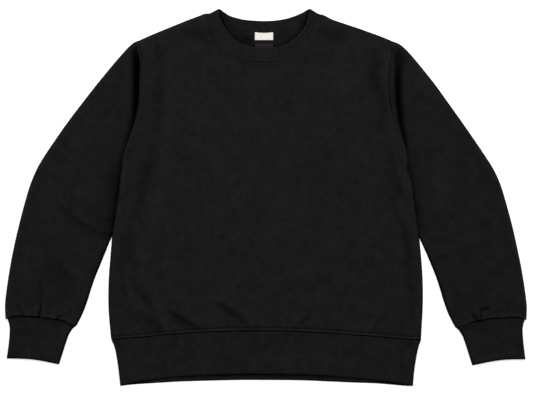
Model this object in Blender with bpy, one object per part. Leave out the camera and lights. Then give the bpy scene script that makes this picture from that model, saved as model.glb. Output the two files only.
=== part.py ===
"""A crewneck sweatshirt laid flat, face up, in metres with +Z up.

The garment lies on the plane z = 0 with its neck towards +Y. Its back layer is flat on that
plane and its front layer lies on the back layer, with a little air between them. Each cut piece
is a wall of its own: a panel is a sheet, and a sleeve, cuff, hem or collar is a flattened tube.
All tables are in millimetres, measured from the middle of the garment's outline.
"""

import math

import bpy
import numpy as np

MM = 0.001

# Cloth
FLEECE = 2.2                # wall of brushed-back fleece
RIB_WALL = 2.4              # doubled rib band between its ribs
RIB_RELIEF = 0.6            # height of a rib above the band
RIB_PITCH = 4.2             # from one rib to the next
LABEL_WALL = 0.6

# Lay
SEAM_GAP = 0.3              # between two pieces that are sewn together
LOFT = 2.6                  # most that the front layer stands off the back layer
LOFT_REACH = 30.0           # distance from a closed edge over which it rises
MOST_RISE = 3.7             # a ridge never stands off the back layer by more than this
FOLD_GAP = 0.9              # air inside a folded edge
EDGE_ROUND = 1.3            # drop of the front panel's upper face at its closed edges
BAND_CROWN = 0.35           # swelling of a rib band halfway between its edges
BAND_FOLDS = 0.25           # share of the cloth's folds that runs on into a band
FOLD_FADE = 6.0             # distance over which a fold dies out at a closed edge

# Body below the underarm: height, left side, right side
SIDES = (
    (60.0, -274.5, 269.9),
    (30.0, -277.3, 277.0),
    (-5.0, -281.5, 281.8),
    (-50.0, -288.7, 287.6),
    (-82.0, -292.3, 291.7),
    (-116.0, -295.6, 294.7),
    (-150.0, -298.2, 297.1),
    (-184.0, -299.2, 297.9),
    (-218.0, -298.4, 297.1),
    (-252.0, -295.5, 295.1),
    (-269.5, -293.6, 294.0),
)

# Armhole seams from shoulder to underarm: left x, left y, right x, right y
ARMHOLES = (
    (-240.3, 298.4, 239.5, 296.9),
    (-236.5, 280.0, 237.4, 273.0),
    (-234.9, 261.0, 233.8, 253.0),
    (-235.5, 223.0, 231.9, 215.0),
    (-237.4, 189.0, 234.0, 186.0),
    (-242.2, 166.0, 238.5, 160.0),
    (-248.8, 143.5, 246.5, 137.0),
    (-256.4, 121.0, 254.7, 120.0),
    (-265.0, 98.0, 263.2, 98.0),
    (-271.6, 79.0, 268.0, 79.0),
    (-274.5, 60.0, 269.9, 60.0),
)

# Shoulder seams from neck to armhole: left x, left y, right x, right y
SHOULDERS = (
    (-114.0, 349.2, 107.6, 347.2),
    (-118.6, 348.4, 112.6, 344.9),
    (-124.4, 345.9, 126.4, 337.9),
    (-147.2, 337.3, 149.0, 330.1),
    (-170.0, 328.2, 172.0, 322.5),
    (-193.0, 318.8, 195.0, 314.3),
    (-215.6, 309.5, 217.6, 306.1),
    (-240.3, 298.4, 239.5, 296.9),
)

# Outer edge of the sleeves from shoulder to cuff seam: left x, left y, right x, right y
SLEEVE_OUTER = (
    (-240.3, 298.4, 239.5, 296.9),
    (-249.8, 294.8, 251.8, 292.2),
    (-261.2, 286.1, 263.2, 284.0),
    (-272.6, 273.5, 274.6, 271.6),
    (-292.5, 249.8, 293.3, 249.5),
    (-321.0, 215.2, 320.4, 215.3),
    (-347.6, 180.7, 345.3, 180.7),
    (-373.4, 146.5, 369.5, 146.5),
    (-398.1, 112.3, 393.4, 112.3),
    (-420.9, 78.1, 416.8, 78.1),
    (-434.4, 55.3, 431.2, 55.3),
    (-444.3, 32.5, 442.2, 32.5),
    (-452.3, 9.7, 450.2, 9.7),
    (-461.6, -24.5, 459.9, -24.5),
    (-470.5, -58.7, 468.8, -58.7),
    (-478.3, -92.9, 476.6, -92.9),
    (-485.0, -127.1, 483.5, -127.1),
    (-490.3, -161.3, 489.5, -161.3),
    (-494.9, -195.5, 494.1, -195.5),
    (-495.3, -214.0, 495.4, -214.0),
    (-494.2, -231.4, 494.1, -232.6),
)

# Inner edge of the sleeves below the body's side: left x, left y, right x, right y
SLEEVE_INNER = (
    (-295.9, -82.0, 293.6, -82.0),
    (-305.6, -104.3, 304.3, -104.3),
    (-314.9, -127.1, 314.0, -127.1),
    (-324.2, -149.9, 323.1, -149.9),
    (-332.2, -172.7, 330.7, -172.7),
    (-339.2, -195.5, 337.5, -195.5),
    (-347.8, -218.3, 345.7, -218.3),
    (-353.5, -230.5, 351.1, -230.6),
    (-360.3, -245.3, 360.0, -247.3),
)

# Cuff seams from the outer to the inner edge: left x, left y, right x, right y
CUFF_SEAMS = (
    (-494.2, -231.4, 494.1, -232.6),
    (-480.6, -225.9, 475.1, -227.2),
    (-457.0, -225.0, 449.0, -228.6),
    (-423.6, -227.8, 427.6, -229.4),
    (-404.6, -230.7, 408.6, -233.3),
    (-385.6, -233.6, 391.5, -236.6),
    (-373.0, -239.8, 377.0, -243.2),
    (-360.3, -245.3, 360.0, -247.3),
)

# Open ends of the cuffs from the outer to the inner corner: left x, left y, right x, right y
CUFF_ENDS = (
    (-492.2, -305.0, 492.6, -306.8),
    (-466.4, -305.4, 468.4, -306.9),
    (-443.6, -306.7, 445.6, -308.2),
    (-420.8, -310.4, 422.8, -311.7),
    (-392.4, -316.2, 391.4, -318.2),
)

# Outer sides of the cuffs: left x, left y, right x, right y
CUFF_OUTER = (
    (-491.0, -230.5, 491.2, -231.9),
    (-488.8, -236.5, 489.8, -238.0),
    (-487.0, -243.0, 488.0, -245.0),
    (-486.4, -252.5, 487.3, -252.5),
    (-488.2, -275.3, 488.9, -275.3),
    (-492.2, -305.0, 492.6, -306.8),
)

# Inner sides of the cuffs: left x, left y, right x, right y
CUFF_INNER = (
    (-363.6, -244.2, 363.0, -247.0),
    (-367.4, -249.4, 366.4, -251.6),
    (-371.6, -255.6, 369.8, -257.0),
    (-375.6, -263.9, 373.6, -263.9),
    (-380.3, -277.0, 378.2, -277.1),
    (-392.4, -316.2, 391.4, -318.2),
)

# Hem seam from left to right: x, y
HEM_SEAM = (
    (-293.6, -269.5),
    (-269.7, -266.8),
    (-224.1, -262.4),
    (-178.5, -257.8),
    (-87.3, -252.6),
    (0.0, -251.5),
    (72.3, -253.3),
    (140.7, -257.4),
    (209.1, -263.0),
    (270.0, -268.6),
    (294.0, -269.5),
)

# Sides of the hem band: height, left side, right side
HEM_SIDES = (
    (-269.8, -292.6, 293.4),
    (-273.6, -291.9, 293.2),
    (-278.4, -289.4, 291.2),
    (-287.0, -286.8, 288.9),
    (-309.5, -282.4, 284.5),
    (-332.3, -279.3, 281.1),
    (-357.5, -276.4, 279.0),
)

# Lower edge of the hem band: x, front edge, back edge
HEM_EDGES = (
    (-276.4, -357.5, -357.5),
    (-246.9, -350.4, -354.5),
    (-201.3, -343.7, -351.6),
    (-155.7, -339.0, -349.1),
    (-64.5, -335.2, -346.9),
    (0.0, -334.9, -346.5),
    (68.0, -335.8, -347.3),
    (117.9, -338.4, -349.2),
    (163.5, -342.4, -351.2),
    (209.1, -346.6, -353.0),
    (251.0, -352.4, -356.3),
    (266.0, -355.4, -357.6),
    (279.0, -357.5, -357.5),
)

# Neck, left fold to right fold: x, y of each line
NECK_FRONT_SEAM = (
    (-114.0, 349.2),
    (-109.5, 326.0),
    (-101.2, 307.0),
    (-91.1, 290.5),
    (-70.2, 274.0),
    (-51.6, 264.7),
    (-28.0, 258.3),
    (-1.8, 256.7),
    (24.0, 258.8),
    (43.8, 264.5),
    (64.7, 274.5),
    (85.2, 292.6),
    (97.6, 313.3),
    (103.5, 332.0),
    (107.6, 347.2),
)
NECK_FRONT_EDGE = (
    (-88.4, 358.4),
    (-87.6, 343.0),
    (-80.5, 327.9),
    (-72.1, 313.5),
    (-59.8, 301.2),
    (-45.5, 291.6),
    (-27.0, 285.9),
    (-3.7, 284.4),
    (18.5, 285.6),
    (37.0, 291.4),
    (54.1, 304.0),
    (70.4, 321.7),
    (78.9, 338.2),
    (82.6, 358.4),
)
NECK_BACK_SEAM = (
    (-114.0, 349.2),
    (-94.9, 333.8),
    (-74.0, 322.6),
    (-47.4, 316.6),
    (0.0, 314.4),
    (45.7, 316.8),
    (68.5, 324.0),
    (89.4, 335.0),
    (107.6, 347.2),
)
NECK_BACK_EDGE = (
    (-88.4, 358.4),
    (-78.6, 351.8),
    (-67.4, 344.9),
    (-44.6, 338.6),
    (-21.8, 336.1),
    (1.0, 335.5),
    (23.8, 337.1),
    (46.6, 342.0),
    (69.4, 351.2),
    (76.0, 355.5),
    (82.6, 358.4),
)

# Folded sides of the collar, from the seam to the top: left x, left y, right x, right y
NECK_SIDES = (
    (-114.0, 349.2, 107.6, 347.2),
    (-109.0, 349.3, 103.5, 347.6),
    (-103.5, 351.0, 98.0, 349.6),
    (-96.5, 354.8, 91.0, 353.7),
    (-91.5, 357.6, 86.2, 356.9),
    (-88.4, 358.4, 82.6, 358.4),
)

# Soft folds of the front layer: start x, start y, end x, end y, half width, height
FOLDS = (
    (-245.0, -206.0, -190.0, -249.0, 9.5, -1.7),
    (-222.0, -204.0, -176.0, -238.0, 9.0, 0.8),
    (-186.0, -215.0, -137.0, -244.0, 9.0, -1.5),
    (-95.0, -202.0, -36.0, -240.0, 10.0, -1.8),
    (-70.0, -198.0, -16.0, -232.0, 9.0, 0.7),
    (57.0, -243.0, 85.0, -228.0, 8.0, -1.1),
    (205.0, -248.0, 229.0, -222.0, 9.0, -1.5),
    (272.0, -98.0, 282.0, -242.0, 9.0, -1.3),
    (-246.0, -126.0, -229.0, -196.0, 11.0, -1.1),
    (238.0, 96.0, 262.0, 22.0, 10.0, -1.3),
    (-236.0, 110.0, -250.0, 16.0, 10.0, -1.2),
    (-369.0, -28.0, -306.0, -70.0, 10.0, -1.4),
    (-400.0, -118.0, -358.0, -165.0, 10.0, -1.2),
    (-429.0, -176.0, -428.0, -226.0, 6.5, -2.4),
    (-473.0, -206.0, -474.0, -226.0, 6.0, -1.3),
    (-391.0, -214.0, -387.0, -234.0, 6.0, -1.3),
    (-446.0, -196.0, -449.0, -225.0, 8.0, 0.8),
    (387.0, -214.0, 400.0, -231.0, 6.0, -2.0),
    (421.0, -210.5, 406.0, -215.5, 6.0, -2.0),
    (405.5, -217.0, 410.0, -229.0, 6.0, -1.6),
    (304.0, -78.0, 332.0, -84.0, 6.5, -0.8),
    (322.0, -108.0, 352.0, -113.0, 6.5, -0.8),
    (455.0, -192.0, 458.0, -228.0, 8.0, -0.9),
)

# Pleat where a sleeve folds in under the body, shoulder to underarm:
# left x, left y, right x, right y, half width, depth
PLEATS = (
    (-248.5, 284.0, 249.5, 282.0, 4.0, 2.0),
    (-247.5, 268.0, 250.0, 264.0, 5.0, 3.4),
    (-247.0, 226.0, 250.5, 222.0, 5.5, 3.8),
    (-248.5, 190.0, 251.0, 186.0, 5.5, 3.8),
    (-253.0, 162.0, 254.0, 158.0, 5.0, 3.4),
    (-260.0, 136.0, 260.0, 132.0, 4.5, 2.6),
    (-271.0, 100.0, 270.0, 100.0, 4.5, 2.2),
    (-281.0, 60.0, 277.0, 60.0, 4.5, 2.0),
)
CREST_INSET = 6.5           # from a pleat to the crest of the fold beside it
CREST_WIDTH = 6.0
CREST_RISE = 1.2

# Columns of the front panel as distances in from each side, and rows up from the hem
SIDE_COLUMNS = (0.0, 1.5, 5.0, 14.0, 30.0, 46.0, 62.0, 78.0, 94.0, 110.0, 127.0, 144.0, 160.0, 176.0)
NECK_COLUMNS = 18
SIDE_ROWS = (0.0, 9.0, 20.0, 33.0, 48.0, 70.0, 98.0, 130.0, 165.0, 200.0, 238.0, 280.0, 329.5)
# Rows beside the armhole as fractions of its length, from the underarm up
ARMHOLE_ROWS = (0.0, 0.096, 0.192, 0.288, 0.384, 0.48, 0.576, 0.672, 0.768, 0.87, 0.95, 0.983, 0.994, 1.0)

# Rows of a sleeve as fractions from the armhole to the cuff seam
SLEEVE_ROWS = (0.0, 0.009, 0.018, 0.03, 0.048, 0.085, 0.15, 0.24, 0.35, 0.47, 0.59, 0.7, 0.79, 0.87, 0.93, 0.97, 1.0)

# Rows of points across a rib band, and those that its inner wall keeps
CUFF_ROWS = ((0.0, 0.09, 0.2, 0.5, 1.0), (0, 1, 2, 3, 4))
HEM_ROWS = ((0.0, 0.11, 0.45, 1.0), (0, 1, 2, 3))
NECK_ROWS = ((0.0, 0.3, 0.65, 1.0), (0, 1, 2, 3))
FOLD_ANGLES = (45.0, 0.0, -45.0)
LEAST_BEND = 0.15           # of a fold's depth that its inner face still turns through
CLOTH_SHARP = 50.0          # degrees between faces from which an edge shades sharp
RIB_SHARP = 25.0

# Labels inside the back neck: centre x, centre y, width, height
NECK_LABEL = (-3.9, 305.2, 37.4, 17.2)
CARE_LABEL = (-4.6, 286.6, 36.0, 19.2)

COLLECTION = "crewneck_sweatshirt"
FLEECE_COLOR = (0.0105, 0.0105, 0.0108)
RIB_COLOR = (0.0095, 0.0095, 0.0098)
LABEL_COLOR = (0.80, 0.79, 0.75)
CARE_COLOR = (0.018, 0.018, 0.018)


def columns(table, first, second):
    """Two columns of a table as an array of points."""
    rows = np.array(table, dtype=float)
    return rows[:, (first, second)]


def smooth(points, step=4.0):
    """A Catmull-Rom curve through the points, as a dense polyline."""
    points = np.asarray(points, dtype=float)
    before = 2.0 * points[0] - points[1]
    after = 2.0 * points[-1] - points[-2]
    guide = np.vstack((before, points, after))
    pieces = []
    for index in range(len(points) - 1):
        p0, p1, p2, p3 = guide[index:index + 4]
        count = max(2, int(np.linalg.norm(p2 - p1) / step))
        t = np.linspace(0.0, 1.0, count, endpoint=False)[:, None]
        pieces.append(0.5 * (2.0 * p1 + (p2 - p0) * t
                             + (2.0 * p0 - 5.0 * p1 + 4.0 * p2 - p3) * t ** 2
                             + (3.0 * p1 - p0 - 3.0 * p2 + p3) * t ** 3))
    pieces.append(points[-1:])
    return np.vstack(pieces)


def lengths(line):
    """Distance run along a polyline at each of its points."""
    steps = np.linalg.norm(np.diff(line, axis=0), axis=1)
    return np.concatenate(((0.0,), np.cumsum(steps)))


def along(line, fractions):
    """Points of a polyline at fractions of its length."""
    run = lengths(line)
    wanted = np.asarray(fractions) * run[-1]
    return np.stack((np.interp(wanted, run, line[:, 0]), np.interp(wanted, run, line[:, 1])), axis=1)


def offset(line, distance):
    """A polyline moved sideways, to the left of its direction, by a distance."""
    ahead = np.gradient(line, axis=0)
    ahead /= np.linalg.norm(ahead, axis=1)[:, None]
    left = np.stack((-ahead[:, 1], ahead[:, 0]), axis=1)
    return line + left * distance


def distance(line, x, y):
    """Distance of each point (x, y) from a polyline."""
    x = np.asarray(x, dtype=float)
    y = np.asarray(y, dtype=float)
    start = line[:-1]
    run = np.diff(line, axis=0)
    dx = x.reshape(-1, 1) - start[:, 0]
    dy = y.reshape(-1, 1) - start[:, 1]
    share = (dx * run[:, 0] + dy * run[:, 1]) / np.maximum((run ** 2).sum(axis=1), 1e-9)
    share = np.clip(share, 0.0, 1.0)
    apart = np.hypot(dx - share * run[:, 0], dy - share * run[:, 1])
    return apart.min(axis=1).reshape(x.shape)


def patch(first, last, near, far, across, down):
    """A sheet in plan between four edges that share their corners (a Coons patch).

    first and last are the edges at down = 0 and 1, near and far those at across = 0 and 1.
    """
    a = np.asarray(across)[None, :, None]
    d = np.asarray(down)[:, None, None]
    ruled = (1.0 - d) * first[None] + d * last[None] + (1.0 - a) * near[:, None] + a * far[:, None]
    corners = ((1.0 - d) * ((1.0 - a) * first[0] + a * first[-1])
               + d * ((1.0 - a) * last[0] + a * last[-1]))
    return ruled - corners


def side_pair(side):
    """The columns of a four-column table that hold one side: 0 for left, 1 for right."""
    return 2 * side, 2 * side + 1


def closed_edges():
    """The lines where front and back layer are folded or sewn together."""
    lines = []
    sides = np.array(SIDES)
    hem = np.array(HEM_SIDES)
    for side in (0, 1):
        low = np.column_stack((hem[:, 1 + side], hem[:, 0]))
        body = np.column_stack((sides[:, 1 + side], sides[:, 0]))
        lines.append(smooth(np.vstack((body, low[1:])), 8.0))
        pair = side_pair(side)
        fold = (NECK_FRONT_EDGE[0], NECK_FRONT_EDGE[-1])[side]
        top = np.vstack((fold, columns(SHOULDERS, *pair), columns(SLEEVE_OUTER, *pair)[1:]))
        lines.append(smooth(np.vstack((top, columns(CUFF_OUTER, *pair)[1:])), 8.0))
        inner = np.vstack((columns(SLEEVE_INNER, *pair), columns(CUFF_INNER, *pair)[1:]))
        lines.append(smooth(inner, 8.0))
    return lines


CLOSED_EDGES = closed_edges()


def fold_relief(x, y):
    """Height added by the soft folds and by the pleat beside each armhole."""
    relief = np.zeros_like(x)
    for x0, y0, x1, y1, width, height in FOLDS:
        apart = distance(np.array(((x0, y0), (x1, y1))), x, y)
        relief += height * np.exp(-(apart / width) ** 2)
    pleats = np.array(PLEATS)
    for side, inward in ((0, 1.0), (1, -1.0)):
        line = columns(PLEATS, *side_pair(side))
        width = np.interp(y, line[::-1, 1], pleats[::-1, 4])
        depth = np.interp(y, line[::-1, 1], pleats[::-1, 5], left=0.0, right=0.0)
        relief -= depth * np.exp(-(distance(line, x, y) / width) ** 2)
        crest = line + np.array((inward * CREST_INSET, 0.0))
        relief += CREST_RISE * np.exp(-(distance(crest, x, y) / CREST_WIDTH) ** 2)
    return relief


def front_floor(x, y, fold_share=1.0):
    """Height of the front layer's lower face over the plan, with a share of the soft folds."""
    apart = np.min([distance(line, x, y) for line in CLOSED_EDGES], axis=0)
    rise = LOFT * (1.0 - np.exp(-apart / LOFT_REACH))
    fade = fold_share * (1.0 - np.exp(-apart / FOLD_FADE))
    rise = np.clip(rise + fade * fold_relief(x, y), 0.0, MOST_RISE)
    return FLEECE + SEAM_GAP + rise


def material(name, color, roughness):
    """A matt cloth finish of one colour."""
    finish = bpy.data.materials.new(name)
    finish.use_nodes = True
    shader = finish.node_tree.nodes["Principled BSDF"]
    shader.inputs["Base Color"].default_value = (*color, 1.0)
    shader.inputs["Roughness"].default_value = roughness
    shader.inputs["Metallic"].default_value = 0.0
    return finish


def add_mesh(name, points, faces, finish, sharp):
    """A named object from points in millimetres, with its faces turned outwards."""
    mesh = bpy.data.meshes.new(name)
    mesh.from_pydata((points * MM).tolist(), [], faces)
    mesh.validate()
    mesh.materials.append(finish)
    mesh.calc_loop_triangles()
    corners = np.array([triangle.vertices[:] for triangle in mesh.loop_triangles])
    a, b, c = (points[corners[:, index]] for index in range(3))
    if np.einsum("ij,ij->i", a, np.cross(b, c)).sum() < 0.0:
        mesh.flip_normals()
    mesh.shade_smooth()
    mesh.set_sharp_from_angle(angle=math.radians(sharp))
    piece = bpy.data.objects.new(name, mesh)
    bpy.data.collections[COLLECTION].objects.link(piece)
    return piece


def skin_faces(first, rows, cols, ring, flip):
    """Quads of a grid of points whose first index is given; a ring joins its last column to its first."""
    faces = []
    for row in range(rows - 1):
        for col in range(cols if ring else cols - 1):
            right = (col + 1) % cols
            a = first + row * cols + col
            b = first + row * cols + right
            quad = (a, b, b + cols, a + cols)
            faces.append(quad[::-1] if flip else quad)
    return faces


def strip_faces(upper, lower):
    """Quads between two lists of point indices of the same length."""
    return [(upper[i], lower[i], lower[i + 1], upper[i + 1]) for i in range(len(upper) - 1)]


def tube(name, outer, inner, finish, sharp=CLOTH_SHARP):
    """A closed wall from two stacks of rings, outer and inner, each rows x columns x 3."""
    cols = outer.shape[1]
    points = np.vstack((outer.reshape(-1, 3), inner.reshape(-1, 3)))
    start = outer.shape[0] * cols
    faces = skin_faces(0, outer.shape[0], cols, True, False)
    faces += skin_faces(start, inner.shape[0], cols, True, True)
    loop = list(range(cols)) + [0]
    end = (outer.shape[0] - 1) * cols
    inner_end = start + (inner.shape[0] - 1) * cols
    faces += strip_faces(loop, [start + i for i in loop])
    faces += strip_faces([inner_end + i for i in loop], [end + i for i in loop])
    return add_mesh(name, points, faces, finish, sharp)


def sheet(name, upper, lower, finish):
    """A closed wall from an upper and a lower grid of the same size."""
    rows, cols = upper.shape[:2]
    count = rows * cols
    points = np.vstack((upper.reshape(-1, 3), lower.reshape(-1, 3)))
    faces = skin_faces(0, rows, cols, False, False) + skin_faces(count, rows, cols, False, True)
    index = np.arange(count).reshape(rows, cols)
    rim = np.concatenate((index[0], index[1:, -1], index[-1, -2::-1], index[-2::-1, 0])).tolist()
    faces += strip_faces(rim, [count + i for i in rim])
    return add_mesh(name, points, faces, finish, CLOTH_SHARP)


def prism(name, outline, low, high, finish):
    """A flat piece of cloth: a filled outline with straight sides."""
    curve = bpy.data.curves.new(name, "CURVE")
    curve.dimensions = "2D"
    curve.fill_mode = "BOTH"
    curve.extrude = 0.5 * (high - low) * MM
    spline = curve.splines.new("POLY")
    spline.points.add(len(outline) - 1)
    for point, (x, y) in zip(spline.points, outline):
        point.co = (x * MM, y * MM, 0.0, 1.0)
    spline.use_cyclic_u = True
    curve.materials.append(finish)
    piece = bpy.data.objects.new(name, curve)
    piece.location.z = 0.5 * (low + high) * MM
    bpy.data.collections[COLLECTION].objects.link(piece)
    return piece


def fold_points(edge, above, below, low, wall, angles):
    """Outer and inner points round a folded edge, from the front wall down to the back wall.

    edge is the fold in plan, and above and below are where the front and the back wall meet it.
    """
    depth = 0.5 * (np.linalg.norm(above - edge) + np.linalg.norm(below - edge))
    bend = max(LEAST_BEND, 1.0 - wall / depth)
    outer = []
    inner = []
    for angle in angles:
        c = math.cos(math.radians(angle))
        s = math.sin(math.radians(angle))
        toward = 0.5 * ((1.0 + s) * above + (1.0 - s) * below) - edge
        outer.append((*(edge + toward * (1.0 - c)), 0.5 * (low + wall) * (1.0 + s)))
        inner.append((*(edge + toward * (1.0 - bend * c)), wall + 0.5 * (low - wall) * (1.0 + s)))
    return np.array(outer), np.array(inner)


def flat_ring(front, front_low, back, wall, relief):
    """One ring of a flattened tube, as its outer and its inner points.

    front runs from one fold to the other and back returns; both start and end on the folds.
    front_low is the height of the front wall's inner face and relief what its outer face adds.
    """
    front_inner = np.column_stack((front[1:-1], front_low[1:-1]))
    front_outer = front_inner + np.column_stack((np.zeros((len(front) - 2, 2)), wall + relief[1:-1]))
    back_outer = np.column_stack((back[1:-1], np.zeros(len(back) - 2)))
    back_inner = back_outer + np.array((0.0, 0.0, wall))
    far = fold_points(front[-1], front[-2], back[1], front_low[-2], wall, FOLD_ANGLES)
    near = fold_points(front[0], front[1], back[-2], front_low[1], wall, FOLD_ANGLES[::-1])
    outer = np.vstack((front_outer, far[0], back_outer, near[0]))
    inner = np.vstack((front_inner, far[1], back_inner, near[1]))
    return outer, inner


def with_folds(fractions, width, wall):
    """Fractions across a tube with the first and last ones moved in to where its folds begin."""
    inset = (wall + 0.5 * FOLD_GAP) / width
    inside = [f for f in fractions if 1.8 * inset < f < 1.0 - 1.8 * inset]
    return np.array([0.0, inset, *inside, 1.0 - inset, 1.0])


def panel_edges():
    """The four edges of the front panel, each sampled at its rows or columns."""
    shares = np.array(SIDE_COLUMNS) / SIDE_COLUMNS[-1]
    neck = np.linspace(0.0, 1.0, NECK_COLUMNS + 1)
    side_part = SIDE_COLUMNS[-1] / (HEM_SEAM[-1][0] - HEM_SEAM[0][0])
    bottom_at = np.concatenate((shares * side_part, side_part + neck[1:-1] * (1.0 - 2.0 * side_part),
                                1.0 - shares[::-1] * side_part))
    bottom = along(smooth(HEM_SEAM), bottom_at)
    left_shoulder = along(smooth(columns(SHOULDERS, 0, 1))[::-1], shares)
    right_shoulder = along(smooth(columns(SHOULDERS, 2, 3)), 1.0 - shares[::-1])
    neck_line = along(smooth(NECK_FRONT_SEAM), neck)
    top = np.vstack((left_shoulder[:-1], neck_line, right_shoulder[1:]))
    up = np.array(SIDE_ROWS) / SIDE_ROWS[-1]
    edges = []
    sides = np.array(SIDES)[::-1]
    for side in (0, 1):
        line = smooth(np.column_stack((sides[:, 1 + side], sides[:, 0])))
        armhole = smooth(columns(ARMHOLES, *side_pair(side)))[::-1]
        edges.append(np.vstack((along(line, up), along(armhole, ARMHOLE_ROWS)[1:])))
    run = lengths(edges[0])
    return bottom, top, edges[0], edges[1], bottom_at, run / run[-1]


def make_front_panel(finish):
    """The front: a sheet that lies on the back, closed to it at the sides and shoulders."""
    bottom, top, left, right, across, up = panel_edges()
    plan = patch(bottom, top, left, right, across, up)
    x, y = plan[..., 0], plan[..., 1]
    low = front_floor(x, y)
    high = low + FLEECE
    side = len(SIDE_ROWS)
    for column in (0, -1):
        high[:side, column] -= EDGE_ROUND
    shoulder = len(SIDE_COLUMNS)
    high[-1, 1:shoulder] -= EDGE_ROUND
    high[-1, -shoulder:-1] -= EDGE_ROUND
    upper = np.dstack((plan, high))
    lower = np.dstack((plan, low))
    return sheet("front_panel", upper, lower, finish)


def back_neck_line(count):
    """The back neck seam from left to right."""
    return along(smooth(NECK_BACK_SEAM), np.linspace(0.0, 1.0, count + 1))


def make_back_panel(finish):
    """The back: a flat piece with the front's sides, armholes and shoulders, and a higher neck."""
    bottom, top, left, right, _, _ = panel_edges()
    shoulder = len(SIDE_COLUMNS)
    outline = np.vstack((bottom[:-1], right[:-1], top[:-shoulder:-1], back_neck_line(NECK_COLUMNS)[::-1],
                         top[shoulder - 2::-1], left[-2:0:-1]))
    return prism("back_panel", outline, 0.0, FLEECE, finish)


def sleeve_plan(side):
    """Plan of a sleeve: rows from armhole to cuff seam, columns from outer to inner edge."""
    pair = side_pair(side)
    away = (1.0, -1.0)[side]
    edge = panel_edges()[2 + side]
    armhole = offset(edge[-len(ARMHOLE_ROWS):], away * SEAM_GAP)[::-1]
    run = lengths(armhole)
    cuff = smooth(columns(CUFF_SEAMS, *pair))
    across = with_folds(run[1:-1] / run[-1], 130.0, FLEECE)
    outer = smooth(np.vstack((armhole[:1], columns(SLEEVE_OUTER, *pair)[1:])))
    sides = np.array(SIDES)[1:5]
    body = np.column_stack((sides[:, 1 + side], sides[:, 0])) - np.array((away * 0.7, 0.0))
    inner = smooth(np.vstack((armhole[-1:], body[:-1], columns(SLEEVE_INNER, *pair))))
    down = np.array(SLEEVE_ROWS)
    return patch(along(armhole, across), along(cuff, across), along(outer, down), along(inner, down),
                 across, down)


def make_sleeve(side, finish):
    """A sleeve: a flattened tube from the armhole seam to the cuff seam."""
    plan = sleeve_plan(side)
    outer = []
    inner = []
    for row in plan:
        low = front_floor(row[:, 0], row[:, 1])
        low[[1, -2]] = np.maximum(low[[1, -2]], FLEECE + FOLD_GAP)
        ring = flat_ring(row, low, row[::-1], FLEECE, np.zeros(len(row)))
        outer.append(ring[0])
        inner.append(ring[1])
    name = ("sleeve_left", "sleeve_right")[side]
    return tube(name, np.array(outer), np.array(inner), finish)


def rib_band(name, front_start, front_end, back_start, back_end, ends, width, rows, finish):
    """A ribbed tube between two edges; ends holds its two folded sides, from start to end."""
    ribs = int(round(width / RIB_PITCH))
    across = with_folds(np.arange(1, 2 * ribs) / (2.0 * ribs), width, RIB_WALL)
    run = lengths(back_start)
    plain = with_folds(run[1:-1] / run[-1], width, RIB_WALL)
    crest = np.zeros(len(across))
    crest[2:-2:2] = RIB_RELIEF
    down = np.array(rows[0])
    near = along(ends[0], down)
    far = along(ends[1], down)
    front = patch(along(front_start, across), along(front_end, across), near, far, across, down)
    back = patch(along(back_start, plain), along(back_end, plain), near, far, plain, down)
    low = front_floor(front[..., 0], front[..., 1], BAND_FOLDS) + RIB_WALL - FLEECE
    low[:, (1, -2)] = np.maximum(low[:, (1, -2)], RIB_WALL + FOLD_GAP)
    low[1:-1] = (1.0 - down[1:-1, None]) * low[0] + down[1:-1, None] * low[-1]
    outer = []
    inner = []
    for row in range(len(down)):
        crown = BAND_CROWN * math.sin(math.pi * down[row])
        ring = flat_ring(front[row], low[row], back[row][::-1], RIB_WALL, crest + crown)
        outer.append(ring[0])
        inner.append(ring[1])
    return tube(name, np.array(outer), np.array(inner)[list(rows[1])], finish, RIB_SHARP)


def line_between(line, start, end):
    """The stretch of a polyline between the points nearest to two others."""
    first = int(np.argmin(np.hypot(*(line - start).T)))
    last = int(np.argmin(np.hypot(*(line - end).T)))
    return np.vstack((start, line[first + 1:last], end))


def make_hem(finish):
    """The hem band: its back hangs a little lower than its front."""
    bottom = panel_edges()[0]
    seam = offset(bottom, -SEAM_GAP)
    sides = np.array(HEM_SIDES)
    ends = [smooth(np.column_stack((sides[:, 1 + side], sides[:, 0]))) for side in (0, 1)]
    ends[0][0, 1] = np.interp(ends[0][0, 0], seam[:, 0], seam[:, 1])
    ends[1][0, 1] = np.interp(ends[1][0, 0], seam[:, 0], seam[:, 1])
    start = line_between(seam, ends[0][0], ends[1][0])
    front_edge = smooth(columns(HEM_EDGES, 0, 1))
    back_edge = smooth(columns(HEM_EDGES, 0, 2))
    width = HEM_SIDES[0][2] - HEM_SIDES[0][1]
    return rib_band(
        "hem_rib", start, front_edge, start, back_edge, ends, width, HEM_ROWS, finish
    )


def make_cuff(side, finish):
    """A cuff: a ribbed tube that is a little narrower than the sleeve it gathers."""
    pair = side_pair(side)
    away = (-1.0, 1.0)[side]
    seam = offset(sleeve_plan(side)[-1], away * SEAM_GAP)
    ends = [smooth(columns(CUFF_OUTER, *pair)), smooth(columns(CUFF_INNER, *pair))]
    order = np.argsort(seam[:, 0])
    for end in ends:
        end[0, 1] = np.interp(end[0, 0], seam[order, 0], seam[order, 1])
    start = line_between(seam, ends[0][0], ends[1][0])
    finish_line = smooth(columns(CUFF_ENDS, *pair))
    width = np.linalg.norm(ends[0][0] - ends[1][0])
    name = ("cuff_left", "cuff_right")[side]
    return rib_band(name, start, finish_line, start, finish_line, ends, width, CUFF_ROWS, finish)


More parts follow.
